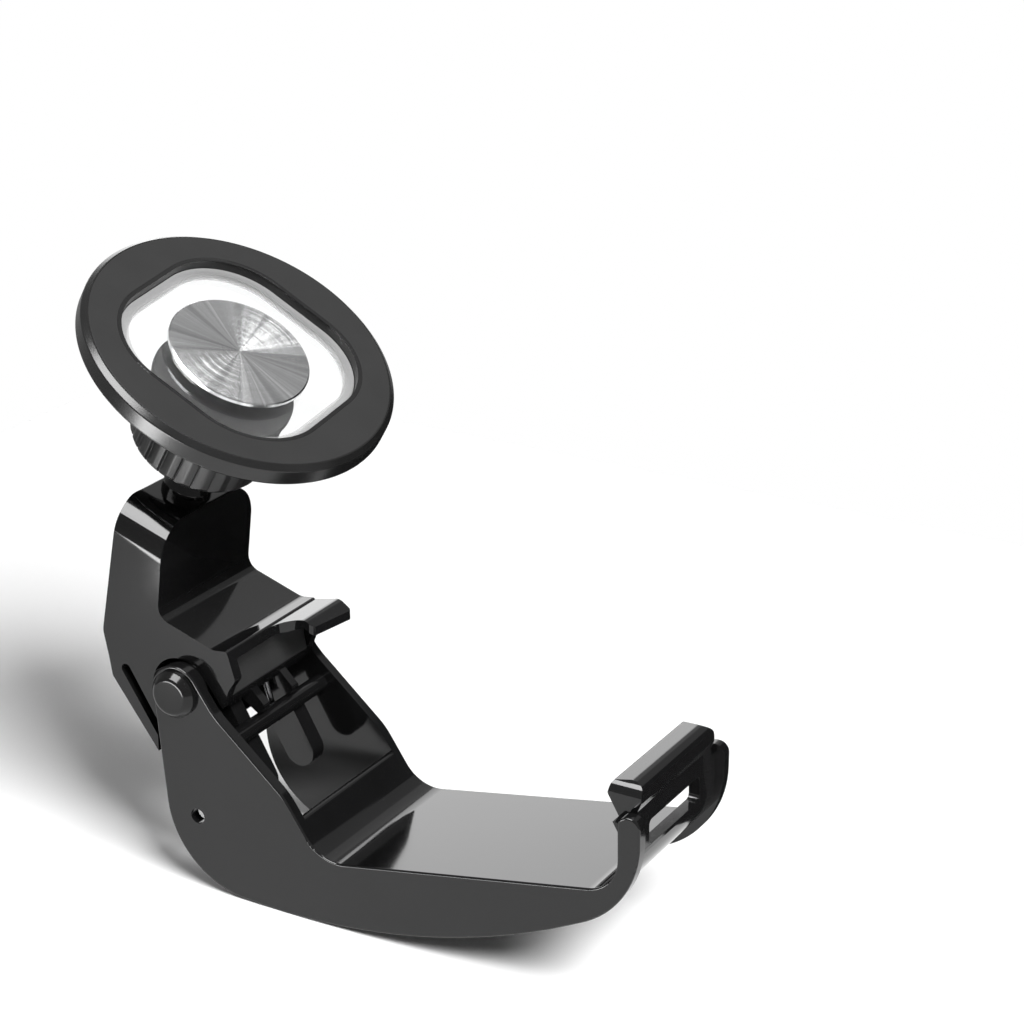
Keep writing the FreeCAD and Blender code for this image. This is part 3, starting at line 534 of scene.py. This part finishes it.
@dataclass(frozen=True)
class ClearPlastic:
    """Polished clear plate with hairline wear and a rough grey border band; its grey is painted sheen standing
    in for the light in the polished edge.
    """

    seat: Matrix
    name: str = "clear_plastic"
    half: float = OPENING_HALF
    corner: float = OPENING_CORNER
    # Where the painted edge sheen starts, as a share of the corner radius.
    painted_sheen_start: float = 0.86
    band_blur: float = 0.012
    wear_scale: float = 2200.0
    sheen_band_grain_scale: float = 3000.0

    def build(self) -> bpy.types.Material:
        """Builds the finish.

        Returns:
            The material.
        """
        shader = Shader.named(self.name)
        wear = shader.ramp(shader.noise(self.wear_scale, 6.0), ((0.0, 0.0), (0.62, 0.0), (0.8, 1.0)))
        colour = shader.tint(shader.noise(150.0, 2.0), (0.955, 0.96, 0.96), (0.975, 0.98, 0.98))
        normal = shader.bump(shader.noise(120.0, 2.0), 0.04, 0.00002)
        at = shader.vector("ABSOLUTE", shader.turned_place(self.seat))
        core = (self.half - self.corner) * MM
        past = shader.vector("MAXIMUM", shader.vector("SUBTRACT", at, (core, core, 1.0)), (0.0, 0.0, 0.0))
        outward = (shader.vector("LENGTH", past) * (1.0 / (self.corner * MM))).clamped()
        # Painted sheen: a rough grey band near the border stands in for the light that the polished edge shows.
        stops = ((0.0, 0.0), (self.painted_sheen_start, 0.0), (self.painted_sheen_start + self.band_blur, 0.5), (1.0, 0.95))
        edge = shader.ramp(outward, stops)
        sheen_band_grain = shader.noise(self.sheen_band_grain_scale, 3.0)
        return shader.surface(
            {"Base Color": colour, "Roughness": wear.spread(0.0, 0.06), "Normal": normal,
             "Transmission Weight": 1.0, "IOR": 1.49},
            {"Base Color": shader.tint(sheen_band_grain, (0.26, 0.26, 0.26), (0.34, 0.34, 0.34)),
             "Roughness": sheen_band_grain.spread(0.45, 0.7)},
            edge,
        )


class Bench:
    """Edit-mode modelling: each piece starts as a primitive and is worked by operators."""

    @staticmethod
    def only(*objects: bpy.types.Object) -> None:
        """Selects these objects and nothing else.

        Args:
            objects: The objects; the last becomes active.
        """
        for other in bpy.context.view_layer.objects:
            other.select_set(other in objects)
        bpy.context.view_layer.objects.active = objects[-1]

    @staticmethod
    def begin(name: str, at: Vector) -> bpy.types.Object:
        """Starts a piece as a single point, in edit mode.

        Args:
            name: The piece's name.
            at: Where the point lies.

        Returns:
            The new object.
        """
        bpy.ops.object.select_all(action="DESELECT")
        bpy.ops.mesh.primitive_plane_add(size=MM, location=(0.0, 0.0, 0.0))
        made = bpy.context.object
        made.name = name
        made.data.name = name
        bpy.ops.object.mode_set(mode="EDIT")
        bpy.ops.mesh.select_all(action="SELECT")
        bpy.ops.mesh.merge(type="CENTER")
        bpy.ops.transform.translate(value=at)
        return made

    @staticmethod
    def trace(points: Sequence[Vector]) -> None:
        """Extrudes the selected point along a chain.

        Args:
            points: The chain, its first point being the selected one.
        """
        for here, there in zip(points, points[1:]):
            bpy.ops.mesh.extrude_region_move(TRANSFORM_OT_translate={"value": there - here})

    @staticmethod
    def end(made: bpy.types.Object) -> bpy.types.Object:
        """Leaves edit mode with merged points, outward faces and smooth shading.

        Args:
            made: The piece in edit mode.

        Returns:
            The same piece.
        """
        bpy.ops.mesh.select_all(action="SELECT")
        bpy.ops.mesh.remove_doubles(threshold=0.002 * MM)
        bpy.ops.mesh.normals_make_consistent(inside=False)
        bpy.ops.object.mode_set(mode="OBJECT")
        Bench.only(made)
        bpy.ops.object.shade_smooth_by_angle(angle=math.radians(SHARP))
        return made

    @staticmethod
    def lathe(name: str, profile: Sequence[Corner], steps: int) -> bpy.types.Object:
        """Turns a profile about Z.

        Args:
            name: The piece's name.
            profile: Corners as radius, height and corner radius, in millimetres.
            steps: Facets round the piece.

        Returns:
            The turned piece.
        """
        points = [Vector((r, 0.0, z)) * MM for r, z in rounded(profile, closed=False)]
        made = Bench.begin(name, points[0])
        Bench.trace(points)
        bpy.ops.mesh.select_all(action="SELECT")
        bpy.ops.mesh.spin(steps=steps, angle=math.tau, center=(0, 0, 0), axis=(0, 0, 1))
        return Bench.end(made)

    @staticmethod
    def prism(name: str, outline: Sequence[Point], low: float, high: float) -> bpy.types.Object:
        """Extrudes an outline.

        Args:
            name: The piece's name.
            outline: Points in millimetres, X and Y.
            low: Height of its foot.
            high: Height of its top.

        Returns:
            The extruded piece.
        """
        points = [Vector((a, b, low)) * MM for a, b in outline]
        way = Vector((0.0, 0.0, (high - low) * MM))
        made = Bench.begin(name, points[0])
        Bench.trace(points + [points[0]])
        bpy.ops.mesh.select_all(action="SELECT")
        bpy.ops.mesh.remove_doubles(threshold=0.001 * MM)
        bpy.ops.mesh.select_all(action="SELECT")
        bpy.ops.mesh.edge_face_add()
        bpy.ops.mesh.extrude_region_move(TRANSFORM_OT_translate={"value": way})
        return Bench.end(made)

    @staticmethod
    def ring(
        name: str, inner: float, outer: float, low: float, high: float, steps: int,
    ) -> bpy.types.Object:
        """Turns a plain ring.

        Args:
            name: The piece's name.
            inner: Inner radius, in millimetres.
            outer: Outer radius.
            low: Height of its foot.
            high: Height of its top.
            steps: Facets round the piece.

        Returns:
            The ring.
        """
        corners = ((inner, low), (outer, low), (outer, high), (inner, high), (inner, low))
        return Bench.lathe(name, [(r, z, 0.0) for r, z in corners], steps)

    @staticmethod
    def cut(made: bpy.types.Object, tool: bpy.types.Object) -> None:
        """Cuts one piece with another, which is used up.

        Args:
            made: The piece to change.
            tool: The cutter.
        """
        change = made.modifiers.new("cut", "BOOLEAN")
        change.operation = "DIFFERENCE"
        change.solver = "EXACT"
        change.object = tool
        Bench.only(made)
        bpy.ops.object.modifier_apply(modifier=change.name)
        bpy.data.objects.remove(tool, do_unlink=True)

    @staticmethod
    def even(made: bpy.types.Object, weight: int) -> None:
        """Evens the shading across small faces.

        Args:
            made: The piece, which is the active one.
            weight: How much the large faces count.
        """
        even = made.modifiers.new("even", "WEIGHTED_NORMAL")
        even.keep_sharp = True
        even.weight = weight
        bpy.ops.object.modifier_apply(modifier=even.name)

    @staticmethod
    def soften(made: bpy.types.Object, width: float, angle: float = SHARP) -> None:
        """Rounds the sharp edges and evens the shading.

        Args:
            made: The piece.
            width: Width of the rounding, in millimetres.
            angle: Edges sharper than this are rounded, in degrees.
        """
        edge = made.modifiers.new("edge", "BEVEL")
        edge.width = width * MM
        edge.segments = EDGE_FACETS
        edge.limit_method = "ANGLE"
        edge.angle_limit = math.radians(angle)
        edge.use_clamp_overlap = True
        Bench.only(made)
        bpy.ops.object.modifier_apply(modifier=edge.name)
        bpy.ops.object.shade_smooth_by_angle(angle=math.radians(angle))
        Bench.even(made, EVEN_ROUNDED)

    @staticmethod
    def lay(made: bpy.types.Object, seat: Matrix) -> bpy.types.Object:
        """Lays a piece in the row frame, with its place in its mesh.

        Args:
            made: The piece, drawn round the origin.
            seat: Where it goes.

        Returns:
            The same piece.
        """
        made.matrix_world = seat
        Bench.only(made)
        bpy.ops.object.transform_apply(location=True, rotation=True, scale=True)
        return made

    @staticmethod
    def from_frame(node: str, width: float) -> bpy.types.Object:
        """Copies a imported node's shape, joins its loose triangles and rounds its edges.

        Args:
            node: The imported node.
            width: Width of the edge rounding, in millimetres; 0 leaves the edges sharp.

        Returns:
            The new piece.
        """
        made = frame["nodes"][node].copy()
        made.data = frame["nodes"][node].data.copy()
        made.name = f"{node}_dressed"
        made.data.name = made.name
        made.parent = None
        made.data.materials.clear()
        bpy.context.scene.collection.objects.link(made)
        Bench.only(made)
        bpy.ops.object.mode_set(mode="EDIT")
        bpy.ops.mesh.select_all(action="SELECT")
        bpy.ops.mesh.remove_doubles(threshold=0.0004 * MM)
        bpy.ops.mesh.dissolve_limited(angle_limit=math.radians(0.6))
        bpy.ops.mesh.normals_make_consistent(inside=False)
        bpy.ops.object.mode_set(mode="OBJECT")
        bpy.ops.object.shade_smooth_by_angle(angle=math.radians(FRAME_SHARP))
        if width > 0:
            Bench.soften(made, width, FRAME_SHARP)
        else:
            Bench.even(made, EVEN_PLAIN)
        return made


def rounded(corners: Sequence[Corner], closed: bool = True, turn: float = 7.0) -> list[Point]:
    """Rounds the corners of an outline.

    Args:
        corners: Corners as two coordinates and a radius.
        closed: Whether the last corner joins the first.
        turn: Angle of one step along an arc, in degrees.

    Returns:
        The outline's points.
    """
    points: list[Point] = []
    count = len(corners)
    for i, (a, b, radius) in enumerate(corners):
        if radius <= 0 or (not closed and i in (0, count - 1)):
            points.append((a, b))
            continue
        here = Vector((a, b))
        back = (Vector(corners[i - 1][:2]) - here).normalized()
        ahead = (Vector(corners[(i + 1) % count][:2]) - here).normalized()
        half = back.angle(ahead) / 2
        run = radius / math.tan(half)
        centre = here + (back + ahead).normalized() * radius / math.sin(half)
        first = here + back * run - centre
        sweep = math.pi - 2 * half
        side = 1.0 if first.x * (here.y - centre.y) - first.y * (here.x - centre.x) > 0 else -1.0
        steps = max(2, math.ceil(math.degrees(sweep) / turn))
        for k in range(steps + 1):
            angle = side * sweep * k / steps
            x = centre.x + first.x * math.cos(angle) - first.y * math.sin(angle)
            y = centre.y + first.x * math.sin(angle) + first.y * math.cos(angle)
            points.append((x, y))
    return points


def squircle(half: float, corner: float) -> list[Point]:
    """Outline of a square with large round corners.

    Args:
        half: Half its width.
        corner: Radius of its corners.

    Returns:
        The outline's points.
    """
    corners = ((-half, -half), (half, -half), (half, half), (-half, half))
    return rounded([(a, b, corner) for a, b in corners], turn=3.0)


def finish_piece(
    made: bpy.types.Object, material: bpy.types.Material, body: Body, slot: str, *nodes: str,
) -> None:
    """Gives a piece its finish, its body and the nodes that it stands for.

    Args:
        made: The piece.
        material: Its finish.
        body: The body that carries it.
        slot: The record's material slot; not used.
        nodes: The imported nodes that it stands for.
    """
    made.data.materials.clear()
    made.data.materials.append(material)
    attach(made, body.value)
    if nodes:
        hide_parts(*nodes)
    LOG.info("piece %s on %s, %d faces", made.name, body.value, len(made.data.polygons))


def repaint(node: str, material: bpy.types.Material) -> None:
    """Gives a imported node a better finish.

    Args:
        node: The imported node.
        material: The finish.
    """
    target = frame["nodes"][node]
    if not target.data.materials:
        target.data.materials.append(material)
    for place in target.material_slots:
        place.material = material
    LOG.info("node %s repainted with %s", node, material.name)


@dataclass
class Finishes:
    """Every material of the clip, built once."""

    seat: Matrix
    gloss: bpy.types.Material = field(init=False)
    satin: bpy.types.Material = field(init=False)
    pad: bpy.types.Material = field(init=False)
    rim: bpy.types.Material = field(init=False)
    grey: bpy.types.Material = field(init=False)
    coat: bpy.types.Material = field(init=False)
    wire: bpy.types.Material = field(init=False)
    brass: bpy.types.Material = field(init=False)
    steel: bpy.types.Material = field(init=False)
    nickel: bpy.types.Material = field(init=False)
    spun: bpy.types.Material = field(init=False)
    clear: bpy.types.Material = field(init=False)

    def __post_init__(self) -> None:
        """Builds the materials."""
        self.gloss = GlossPlastic().build()
        self.satin = SatinPlastic().build()
        self.pad = SoftPad().build()
        self.rim = SatinPlastic("ring_black_plastic", 0.007, 0.012, 0.18, 0.28).build()
        self.grey = SatinPlastic("grey_black_plastic", 0.05, 0.07, 0.4, 0.55).build()
        self.coat = BlackMetal().build()
        self.wire = BareMetal("spring_steel", (0.3, 0.3, 0.31), (0.45, 0.45, 0.46), 0.25).build()
        self.brass = BareMetal("brass", (0.5, 0.34, 0.12), (0.66, 0.46, 0.18), 0.3).build()
        self.steel = BareMetal("steel", (0.42, 0.42, 0.43), (0.56, 0.56, 0.57), 0.35).build()
        self.nickel = BareMetal("magnet_nickel", (0.55, 0.54, 0.52), (0.66, 0.65, 0.63), 0.2).build()
        self.spun = SpunDisc(self.seat).build()
        self.clear = ClearPlastic(self.seat).build()


@dataclass
class Cradle:
    """The two side plates, the seat, the hook and the cheeks that carry the pin."""

    edge: float = 0.3
    lip_half: float = 14.0
    lip_low: float = 18.5
    lip_round: float = 0.8
    lip_near: float = 0.1
    upright: float = 0.99

    def round_lip(self, made: bpy.types.Object) -> None:
        """Rounds the two ends of the hook's lip.

        Args:
            made: The cradle.
        """
        Bench.only(made)
        bpy.ops.object.mode_set(mode="EDIT")
        bpy.ops.mesh.select_all(action="DESELECT")
        bpy.ops.object.mode_set(mode="OBJECT")
        points = made.data.vertices
        walls = [face for face in made.data.polygons if abs(face.normal.y) > self.upright]
        flat = [key for face in walls for key in face.edge_keys]
        rim = {key for key, count in Counter(flat).items() if count == 1}
        for edge in made.data.edges:
            ends = [points[i].co for i in edge.vertices]
            at_side = all(abs(abs(p.y) / MM - self.lip_half) < self.lip_near for p in ends)
            at_end = at_side and all(p.z / MM > self.lip_low for p in ends)
            edge.select = at_end and edge.key in rim
        bpy.ops.object.mode_set(mode="EDIT")
        bpy.ops.mesh.select_mode(type="EDGE")
        bpy.ops.mesh.bevel(offset=self.lip_round * MM, segments=3, clamp_overlap=True)
        bpy.ops.mesh.select_mode(type="VERT")
        bpy.ops.object.mode_set(mode="OBJECT")

    def build(self, finishes: Finishes) -> None:
        """Builds and dresses the cradle.

        Args:
            finishes: The clip's materials.
        """
        made = Bench.from_frame("cradle", self.edge)
        self.round_lip(made)
        finish_piece(made, finishes.gloss, Body.BASE, "gloss_black_plastic", "cradle")


@dataclass
class PivotSet:
    """The pin's domed ends, the bush and the closing spring."""

    radius: float = 4.6
    rise: float = 2.2
    shoulder: float = 0.88
    shoulder_round: float = 0.4
    crown: float = 3.5
    crown_round: float = 1.2
    shaft: float = 2.0
    half_width: float = 17.4
    facets: int = 72

    def head(self, name: str, side: int, length: float) -> bpy.types.Object:
        """Turns one domed end.

        Args:
            name: The piece's name.
            side: 1 on the far side, -1 on the near side.
            length: Length of the shaft behind the dome.

        Returns:
            The piece in the row frame.
        """
        profile = [(0.0, 0.0, 0.0)]
        if length:
            profile = [(0.0, -length, 0.0), (self.shaft, -length, 0.0), (self.shaft, 0.0, 0.0)]
        profile += [
            (self.radius, 0.0, 0.0), (self.radius, self.shoulder, self.shoulder_round),
            (self.crown, self.rise, self.crown_round), (0.0, self.rise, 0.0),
        ]
        made = Bench.lathe(name, profile, self.facets)
        turn = Matrix.Rotation(math.radians(-90.0 * side), 4, "X")
        seat = Matrix.Translation(PIVOT + Vector((0.0, side * self.half_width * MM, 0.0))) @ turn
        return Bench.lay(made, seat)

    def build(self, finishes: Finishes) -> None:
        """Builds and dresses the pivot's pieces.

        Args:
            finishes: The clip's materials.
        """
        pin = self.head("pivot_pin_turned", -1, 2 * self.half_width)
        finish_piece(pin, finishes.coat, Body.BASE, "black_steel", "pivot_pin")
        cap = self.head("pin_cap_turned", 1, 0.0)
        finish_piece(cap, finishes.coat, Body.BASE, "black_steel", "pin_cap")
        repaint("spring_bush", finishes.satin)
        repaint("closing_spring", finishes.wire)


@dataclass
class Arm:
    """The upright arm with the sprung jaw."""

    edge: float = 0.3
    pad_edge: float = 0.15

    def build(self, finishes: Finishes) -> None:
        """Builds and dresses the arm's pieces.

        Args:
            finishes: The clip's materials.
        """
        made = Bench.from_frame("arm", self.edge)
        finish_piece(made, finishes.gloss, Body.JAW, "gloss_black_plastic", "arm")
        pad = Bench.from_frame("jaw_pad", self.pad_edge)
        finish_piece(pad, finishes.pad, Body.JAW, "black_rubber", "jaw_pad")
        repaint("brass_insert", finishes.brass)
        repaint("stud_washer", finishes.coat)


@dataclass
class BallMount:
    """The ball stud, its liner, the socket and the lock nut."""

    nut_edge: float = 0.12

    def build(self, finishes: Finishes) -> None:
        """Builds and dresses the ball mount's pieces.

        Args:
            finishes: The clip's materials.
        """
        stud = Bench.from_frame("ball_stud", 0.0)
        finish_piece(stud, finishes.coat, Body.STUD, "black_steel", "ball_stud")
        repaint("ball_liner", finishes.satin)
        socket = Bench.from_frame("socket", 0.0)
        finish_piece(socket, finishes.grey, Body.HEAD, "matte_black_plastic", "socket")
        nut = Bench.from_frame("lock_nut", self.nut_edge)
        finish_piece(nut, finishes.satin, Body.NUT, "matte_black_plastic", "lock_nut")


@dataclass
class PhoneRing:
    """The clear plate with its disc and the magnetic ring round it."""

    seat: Matrix
    radius: float = 29.6
    low: float = 15.1
    rise: float = 4.4
    plate: float = 2.6
    disc_radius: float = 13.3
    disc: float = 0.8
    pad: float = 0.6
    rim: float = 1.2
    half: float = OPENING_HALF
    corner: float = OPENING_CORNER
    lip: float = 0.8
    channel_in: float = 23.9
    channel_out: float = 27.7
    channel_roof: float = 0.5
    plate_fit: float = 0.05
    screw_r: float = 1.55
    screw_head_r: float = 3.1
    facets: int = 180

    def floor_of(self, name: str, level: float, top: float, edge: float = 0.0) -> bpy.types.Object:
        """Turns the flat round of the ring's front, from a level upwards.

        Args:
            name: The piece's name.
            level: Height of its foot.
            top: Height of its top.
            edge: Rounding of its upper edge.

        Returns:
            The turned piece.
        """
        reach = self.radius - self.rim
        profile = [(0.0, level, 0.0), (reach, level, 0.0), (reach, top, edge), (0.0, top, 0.0)]
        return Bench.lathe(name, profile, self.facets)

    def housing(self, top: float, lip: Sequence[Point], finishes: Finishes) -> None:
        """Turns the housing and cuts its opening, the pad's recess and the magnets' channel.

        Args:
            top: Height of the ring's front.
            lip: Outline of the wall round the opening.
            finishes: The clip's materials.
        """
        made = Bench.lathe("ring_housing_turned", [
            (0.0, self.low, 0.0), (self.radius - 0.4, self.low, 0.3), (self.radius, self.low + 0.5, 0.6),
            (self.radius, top - 0.9, 0.45), (self.radius - self.rim + 0.2, top - 0.05, 0.3),
            (0.0, top - 0.05, 0.0),
        ], self.facets)
        Bench.cut(made, Bench.prism("window", squircle(self.half, self.corner), self.low - 1.0, top + 1.0))
        recess = self.floor_of("recess", top - self.pad, top + 1.0)
        Bench.cut(recess, Bench.prism("recess_core", lip, self.low, top + 2.0))
        Bench.cut(made, recess)
        roof = top - self.pad - self.channel_roof
        Bench.cut(made, Bench.ring("channel", self.channel_in, self.channel_out, self.low - 1.0, roof, 120))
        Bench.soften(made, 0.08)
        Bench.lay(made, self.seat)
        finish_piece(made, finishes.rim, Body.HEAD, "gloss_black_plastic", "ring_housing")

    def face(self, top: float, lip: Sequence[Point], finishes: Finishes) -> None:
        """Turns the rubber face and cuts its opening.

        Args:
            top: Height of the ring's front.
            lip: Outline of the wall round the opening.
            finishes: The clip's materials.
        """
        made = self.floor_of("ring_pad_turned", top - self.pad, top, 0.15)
        Bench.cut(made, Bench.prism("pad_window", lip, self.low, top + 2.0))
        Bench.soften(made, 0.1)
        Bench.lay(made, self.seat)
        finish_piece(made, finishes.pad, Body.HEAD, "black_rubber", "ring_pad")

    def window(self, finishes: Finishes) -> None:
        """Cuts the clear plate and sinks its screw's bore.

        Args:
            finishes: The clip's materials.
        """
        outline = squircle(self.half - self.plate_fit, self.corner - self.plate_fit)
        made = Bench.prism("clear_plate_cut", outline, self.low, self.low + self.plate)
        Bench.cut(made, Bench.lathe("screw_bore", [
            (0.0, self.low - 1.0, 0.0), (self.screw_r, self.low - 1.0, 0.0), (self.screw_r, self.low + 0.8, 0.0),
            (self.screw_head_r, self.low + self.plate - 0.3, 0.0), (self.screw_head_r, self.low + 4.0, 0.0),
            (0.0, self.low + 4.0, 0.0),
        ], 48))
        Bench.soften(made, 0.12)
        Bench.lay(made, self.seat)
        finish_piece(made, finishes.clear, Body.HEAD, "clear_plastic", "clear_plate")

    def mirror(self, finishes: Finishes) -> None:
        """Turns the metal disc with its fine chamfer and the lathe's centre mark.

        Args:
            finishes: The clip's materials.
        """
        foot = self.low + self.plate
        top = foot + self.disc
        made = Bench.lathe("metal_disc_turned", [
            (0.0, foot, 0.0), (self.disc_radius, foot, 0.0), (self.disc_radius, top - 0.2, 0.0),
            (self.disc_radius - 0.25, top, 0.0), (0.35, top, 0.0), (0.0, top - 0.12, 0.0),
        ], 160)
        Bench.lay(made, self.seat)
        finish_piece(made, finishes.spun, Body.HEAD, "spun_aluminium", "metal_disc")

    def build(self, finishes: Finishes) -> None:
        """Builds and dresses the ring's pieces.

        Args:
            finishes: The clip's materials.
        """
        top = self.low + self.rise
        lip = squircle(self.half + self.lip, self.corner + self.lip)
        self.housing(top, lip, finishes)
        self.face(top, lip, finishes)
        self.window(finishes)
        self.mirror(finishes)
        repaint("socket_screw", finishes.coat)
        repaint("ring_cover", finishes.satin)
        repaint("yoke_ring", finishes.steel)
        repaint("magnets", finishes.nickel)


@dataclass(frozen=True)
class SoftBox:
    """One soft box: its place, the point that it faces and its sides in metres, and its brightness.

    A glow of 1 looks white. A matte box lights the matte surfaces; the others show only in gloss.
    """

    name: str
    at: Corner
    aim: Corner
    size: Point
    glow: float
    matte: bool = False


BOXES = (
    SoftBox("key_box", (1.4, -0.72, 1.75), (-0.02, 0.0, 0.0), (1.0, 1.0), 29.0, True),
    SoftBox("seat_box", (-0.38, 0.48, 0.19), (0.0, 0.0, 0.0), (0.56, 0.28), 2.5),
    SoftBox("shelf_box", (-0.19, 0.56, 0.46), (-0.06, 0.0, 0.05), (0.24, 0.2), 0.3),
    SoftBox("shoulder_box", (-0.15, -0.29, 0.47), (-0.075, -0.014, 0.05), (0.32, 0.28), 15.0),
    SoftBox("ring_box", (-0.105, -0.15, -0.005), (-0.06, -0.02, 0.09), (0.1, 0.05), 16.0),
    SoftBox("disc_box", (0.046, 0.161, 0.549), (-0.05, 0.0, 0.09), (0.09, 0.09), 9.0),
)


@dataclass
class Studio:
    """Pale floor, soft boxes, dark cards and the camera."""

    lens: float = 97.3
    camera_at: Vector = field(default_factory=lambda: Vector((223.3, -384.6, 239.8)) * MM)
    camera_turn: tuple[float, float, float] = (68.33, 0.0, 30.0)
    fill: float = 0.2
    mirror: float = 0.36
    clear: float = 1.12
    floor_size: float = 0.44
    floor_x: float = -0.03

    def floor(self) -> None:
        """Lays the pale floor under the clip."""
        shader = Shader.named("floor_paper")
        colour = shader.tint(shader.noise(8.0, 2.0), (0.92, 0.92, 0.92), (0.95, 0.95, 0.95))
        paper = shader.surface({"Base Color": colour, "Roughness": 0.6, "Specular IOR Level": 0.1})
        bpy.ops.object.select_all(action="DESELECT")
        bpy.ops.mesh.primitive_plane_add(size=self.floor_size, location=(self.floor_x, 0.0, CAD_BOX[0][2]))
        plane = bpy.context.object
        plane.name = "floor"
        plane.data.materials.append(paper)

    def card(self, name: str, corners: Sequence[Sequence[float]], paint: bpy.types.Material) -> None:
        """Stands a card that shows only in the gloss of the clip.

        Args:
            name: The card's name.
            corners: Its four corners, in metres.
            paint: Its colour.
        """
        mesh = bpy.data.meshes.new(name)
        mesh.from_pydata(corners, [], [(0, 1, 2, 3)])
        made = bpy.data.objects.new(name, mesh)
        bpy.context.scene.collection.objects.link(made)
        made.data.materials.append(paint)
        made.visible_camera = False
        made.visible_diffuse = False
        made.visible_shadow = False
        made.visible_transmission = False

    def cards(self) -> None:
        """Stands a dark card behind the clip and lays another on the floor behind it."""
        paint = Shader.named("card_black").surface({
            "Base Color": (0.01, 0.01, 0.01, 1.0), "Roughness": 0.9, "Specular IOR Level": 0.0,
        })
        low, high = CAD_BOX[0][2] + MM, 0.3
        upright = ((-0.05, 0.45, low), (0.7, 0.3, low), (0.7, 0.3, high), (-0.05, 0.45, high))
        lying = ((-0.3, 0.04, low), (0.35, 0.04, low), (0.4, 0.44, low), (-0.3, 0.44, low))
        self.card("card_back", upright, paint)
        self.card("card_floor", lying, paint)

    def world(self) -> None:
        """Sets a sky that the camera sees as white and the clip more dimly."""
        bpy.context.scene.world = bpy.data.worlds.new("studio_sky")
        sky = Shader(bpy.context.scene.world)
        shown = sky.node("ShaderNodeBackground", {}, {"Color": WHITE, "Strength": self.fill})
        rays = (("Is Glossy Ray", self.mirror), ("Is Transmission Ray", self.clear), ("Is Camera Ray", 1.0))
        for ray, strength in rays:
            level = sky.node("ShaderNodeBackground", {}, {"Color": WHITE, "Strength": strength})
            is_ray = sky.node("ShaderNodeLightPath", {}, {}, ray)
            shown = sky.node("ShaderNodeMixShader", {}, {0: is_ray, 1: shown, 2: level})
        sky.end("ShaderNodeOutputWorld", shown)

    def lamp(self, box: SoftBox) -> None:
        """Hangs one soft box, out of the camera's sight.

        Args:
            box: The box.
        """
        data = bpy.data.lights.new(box.name, "AREA")
        data.shape = "RECTANGLE"
        data.size, data.size_y = box.size
        data.energy = box.glow * math.pi * box.size[0] * box.size[1]
        made = bpy.data.objects.new(box.name, data)
        bpy.context.scene.collection.objects.link(made)
        made.location = box.at
        made.rotation_euler = (Vector(box.aim) - Vector(box.at)).to_track_quat("-Z", "Y").to_euler()
        made.visible_camera = False
        made.visible_diffuse = box.matte
        made.visible_glossy = not box.matte

    def camera(self) -> None:
        """Places the camera at the photograph's view."""
        data = bpy.data.cameras.new("camera")
        data.sensor_fit = "HORIZONTAL"
        data.sensor_width = 36.0
        data.lens = self.lens
        data.clip_start = 0.01
        made = bpy.data.objects.new("camera", data)
        bpy.context.scene.collection.objects.link(made)
        made.location = self.camera_at
        made.rotation_euler = Euler([math.radians(a) for a in self.camera_turn])
        bpy.context.scene.camera = made

    def build(self) -> None:
        """Builds the studio."""
        bpy.context.scene.view_settings.view_transform = "Standard"
        self.world()
        self.floor()
        self.cards()
        for box in BOXES:
            self.lamp(box)
        self.camera()


def head_seat() -> Matrix:
    """The frame of the head: from the ball's centre along the head's axis.

    Returns:
        The matrix that lays a piece drawn along Z in the row frame.
    """
    lean = math.radians(STUD_LEAN)
    along = Vector((math.sin(lean), 0.0, math.cos(lean)))
    ball = PIVOT + (STUD_FOOT + along * BALL_REACH) * MM
    turn = Matrix.Rotation(math.radians(HEAD_TILT), 4, "Y") @ Matrix.Rotation(math.radians(HEAD_LEAN), 4, "X")
    return Matrix.Translation(ball) @ turn @ Matrix.Rotation(math.radians(HEAD_ROLL), 4, "Z")


def main() -> None:
    """Builds the clip and its studio."""
    logging.basicConfig(level=logging.INFO, format="%(message)s")
    seat = head_seat()
    finishes = Finishes(seat)
    Cradle().build(finishes)
    PivotSet().build(finishes)
    Arm().build(finishes)
    BallMount().build(finishes)
    PhoneRing(seat).build(finishes)
    Studio().build()


if __name__ == "__main__":
    main()
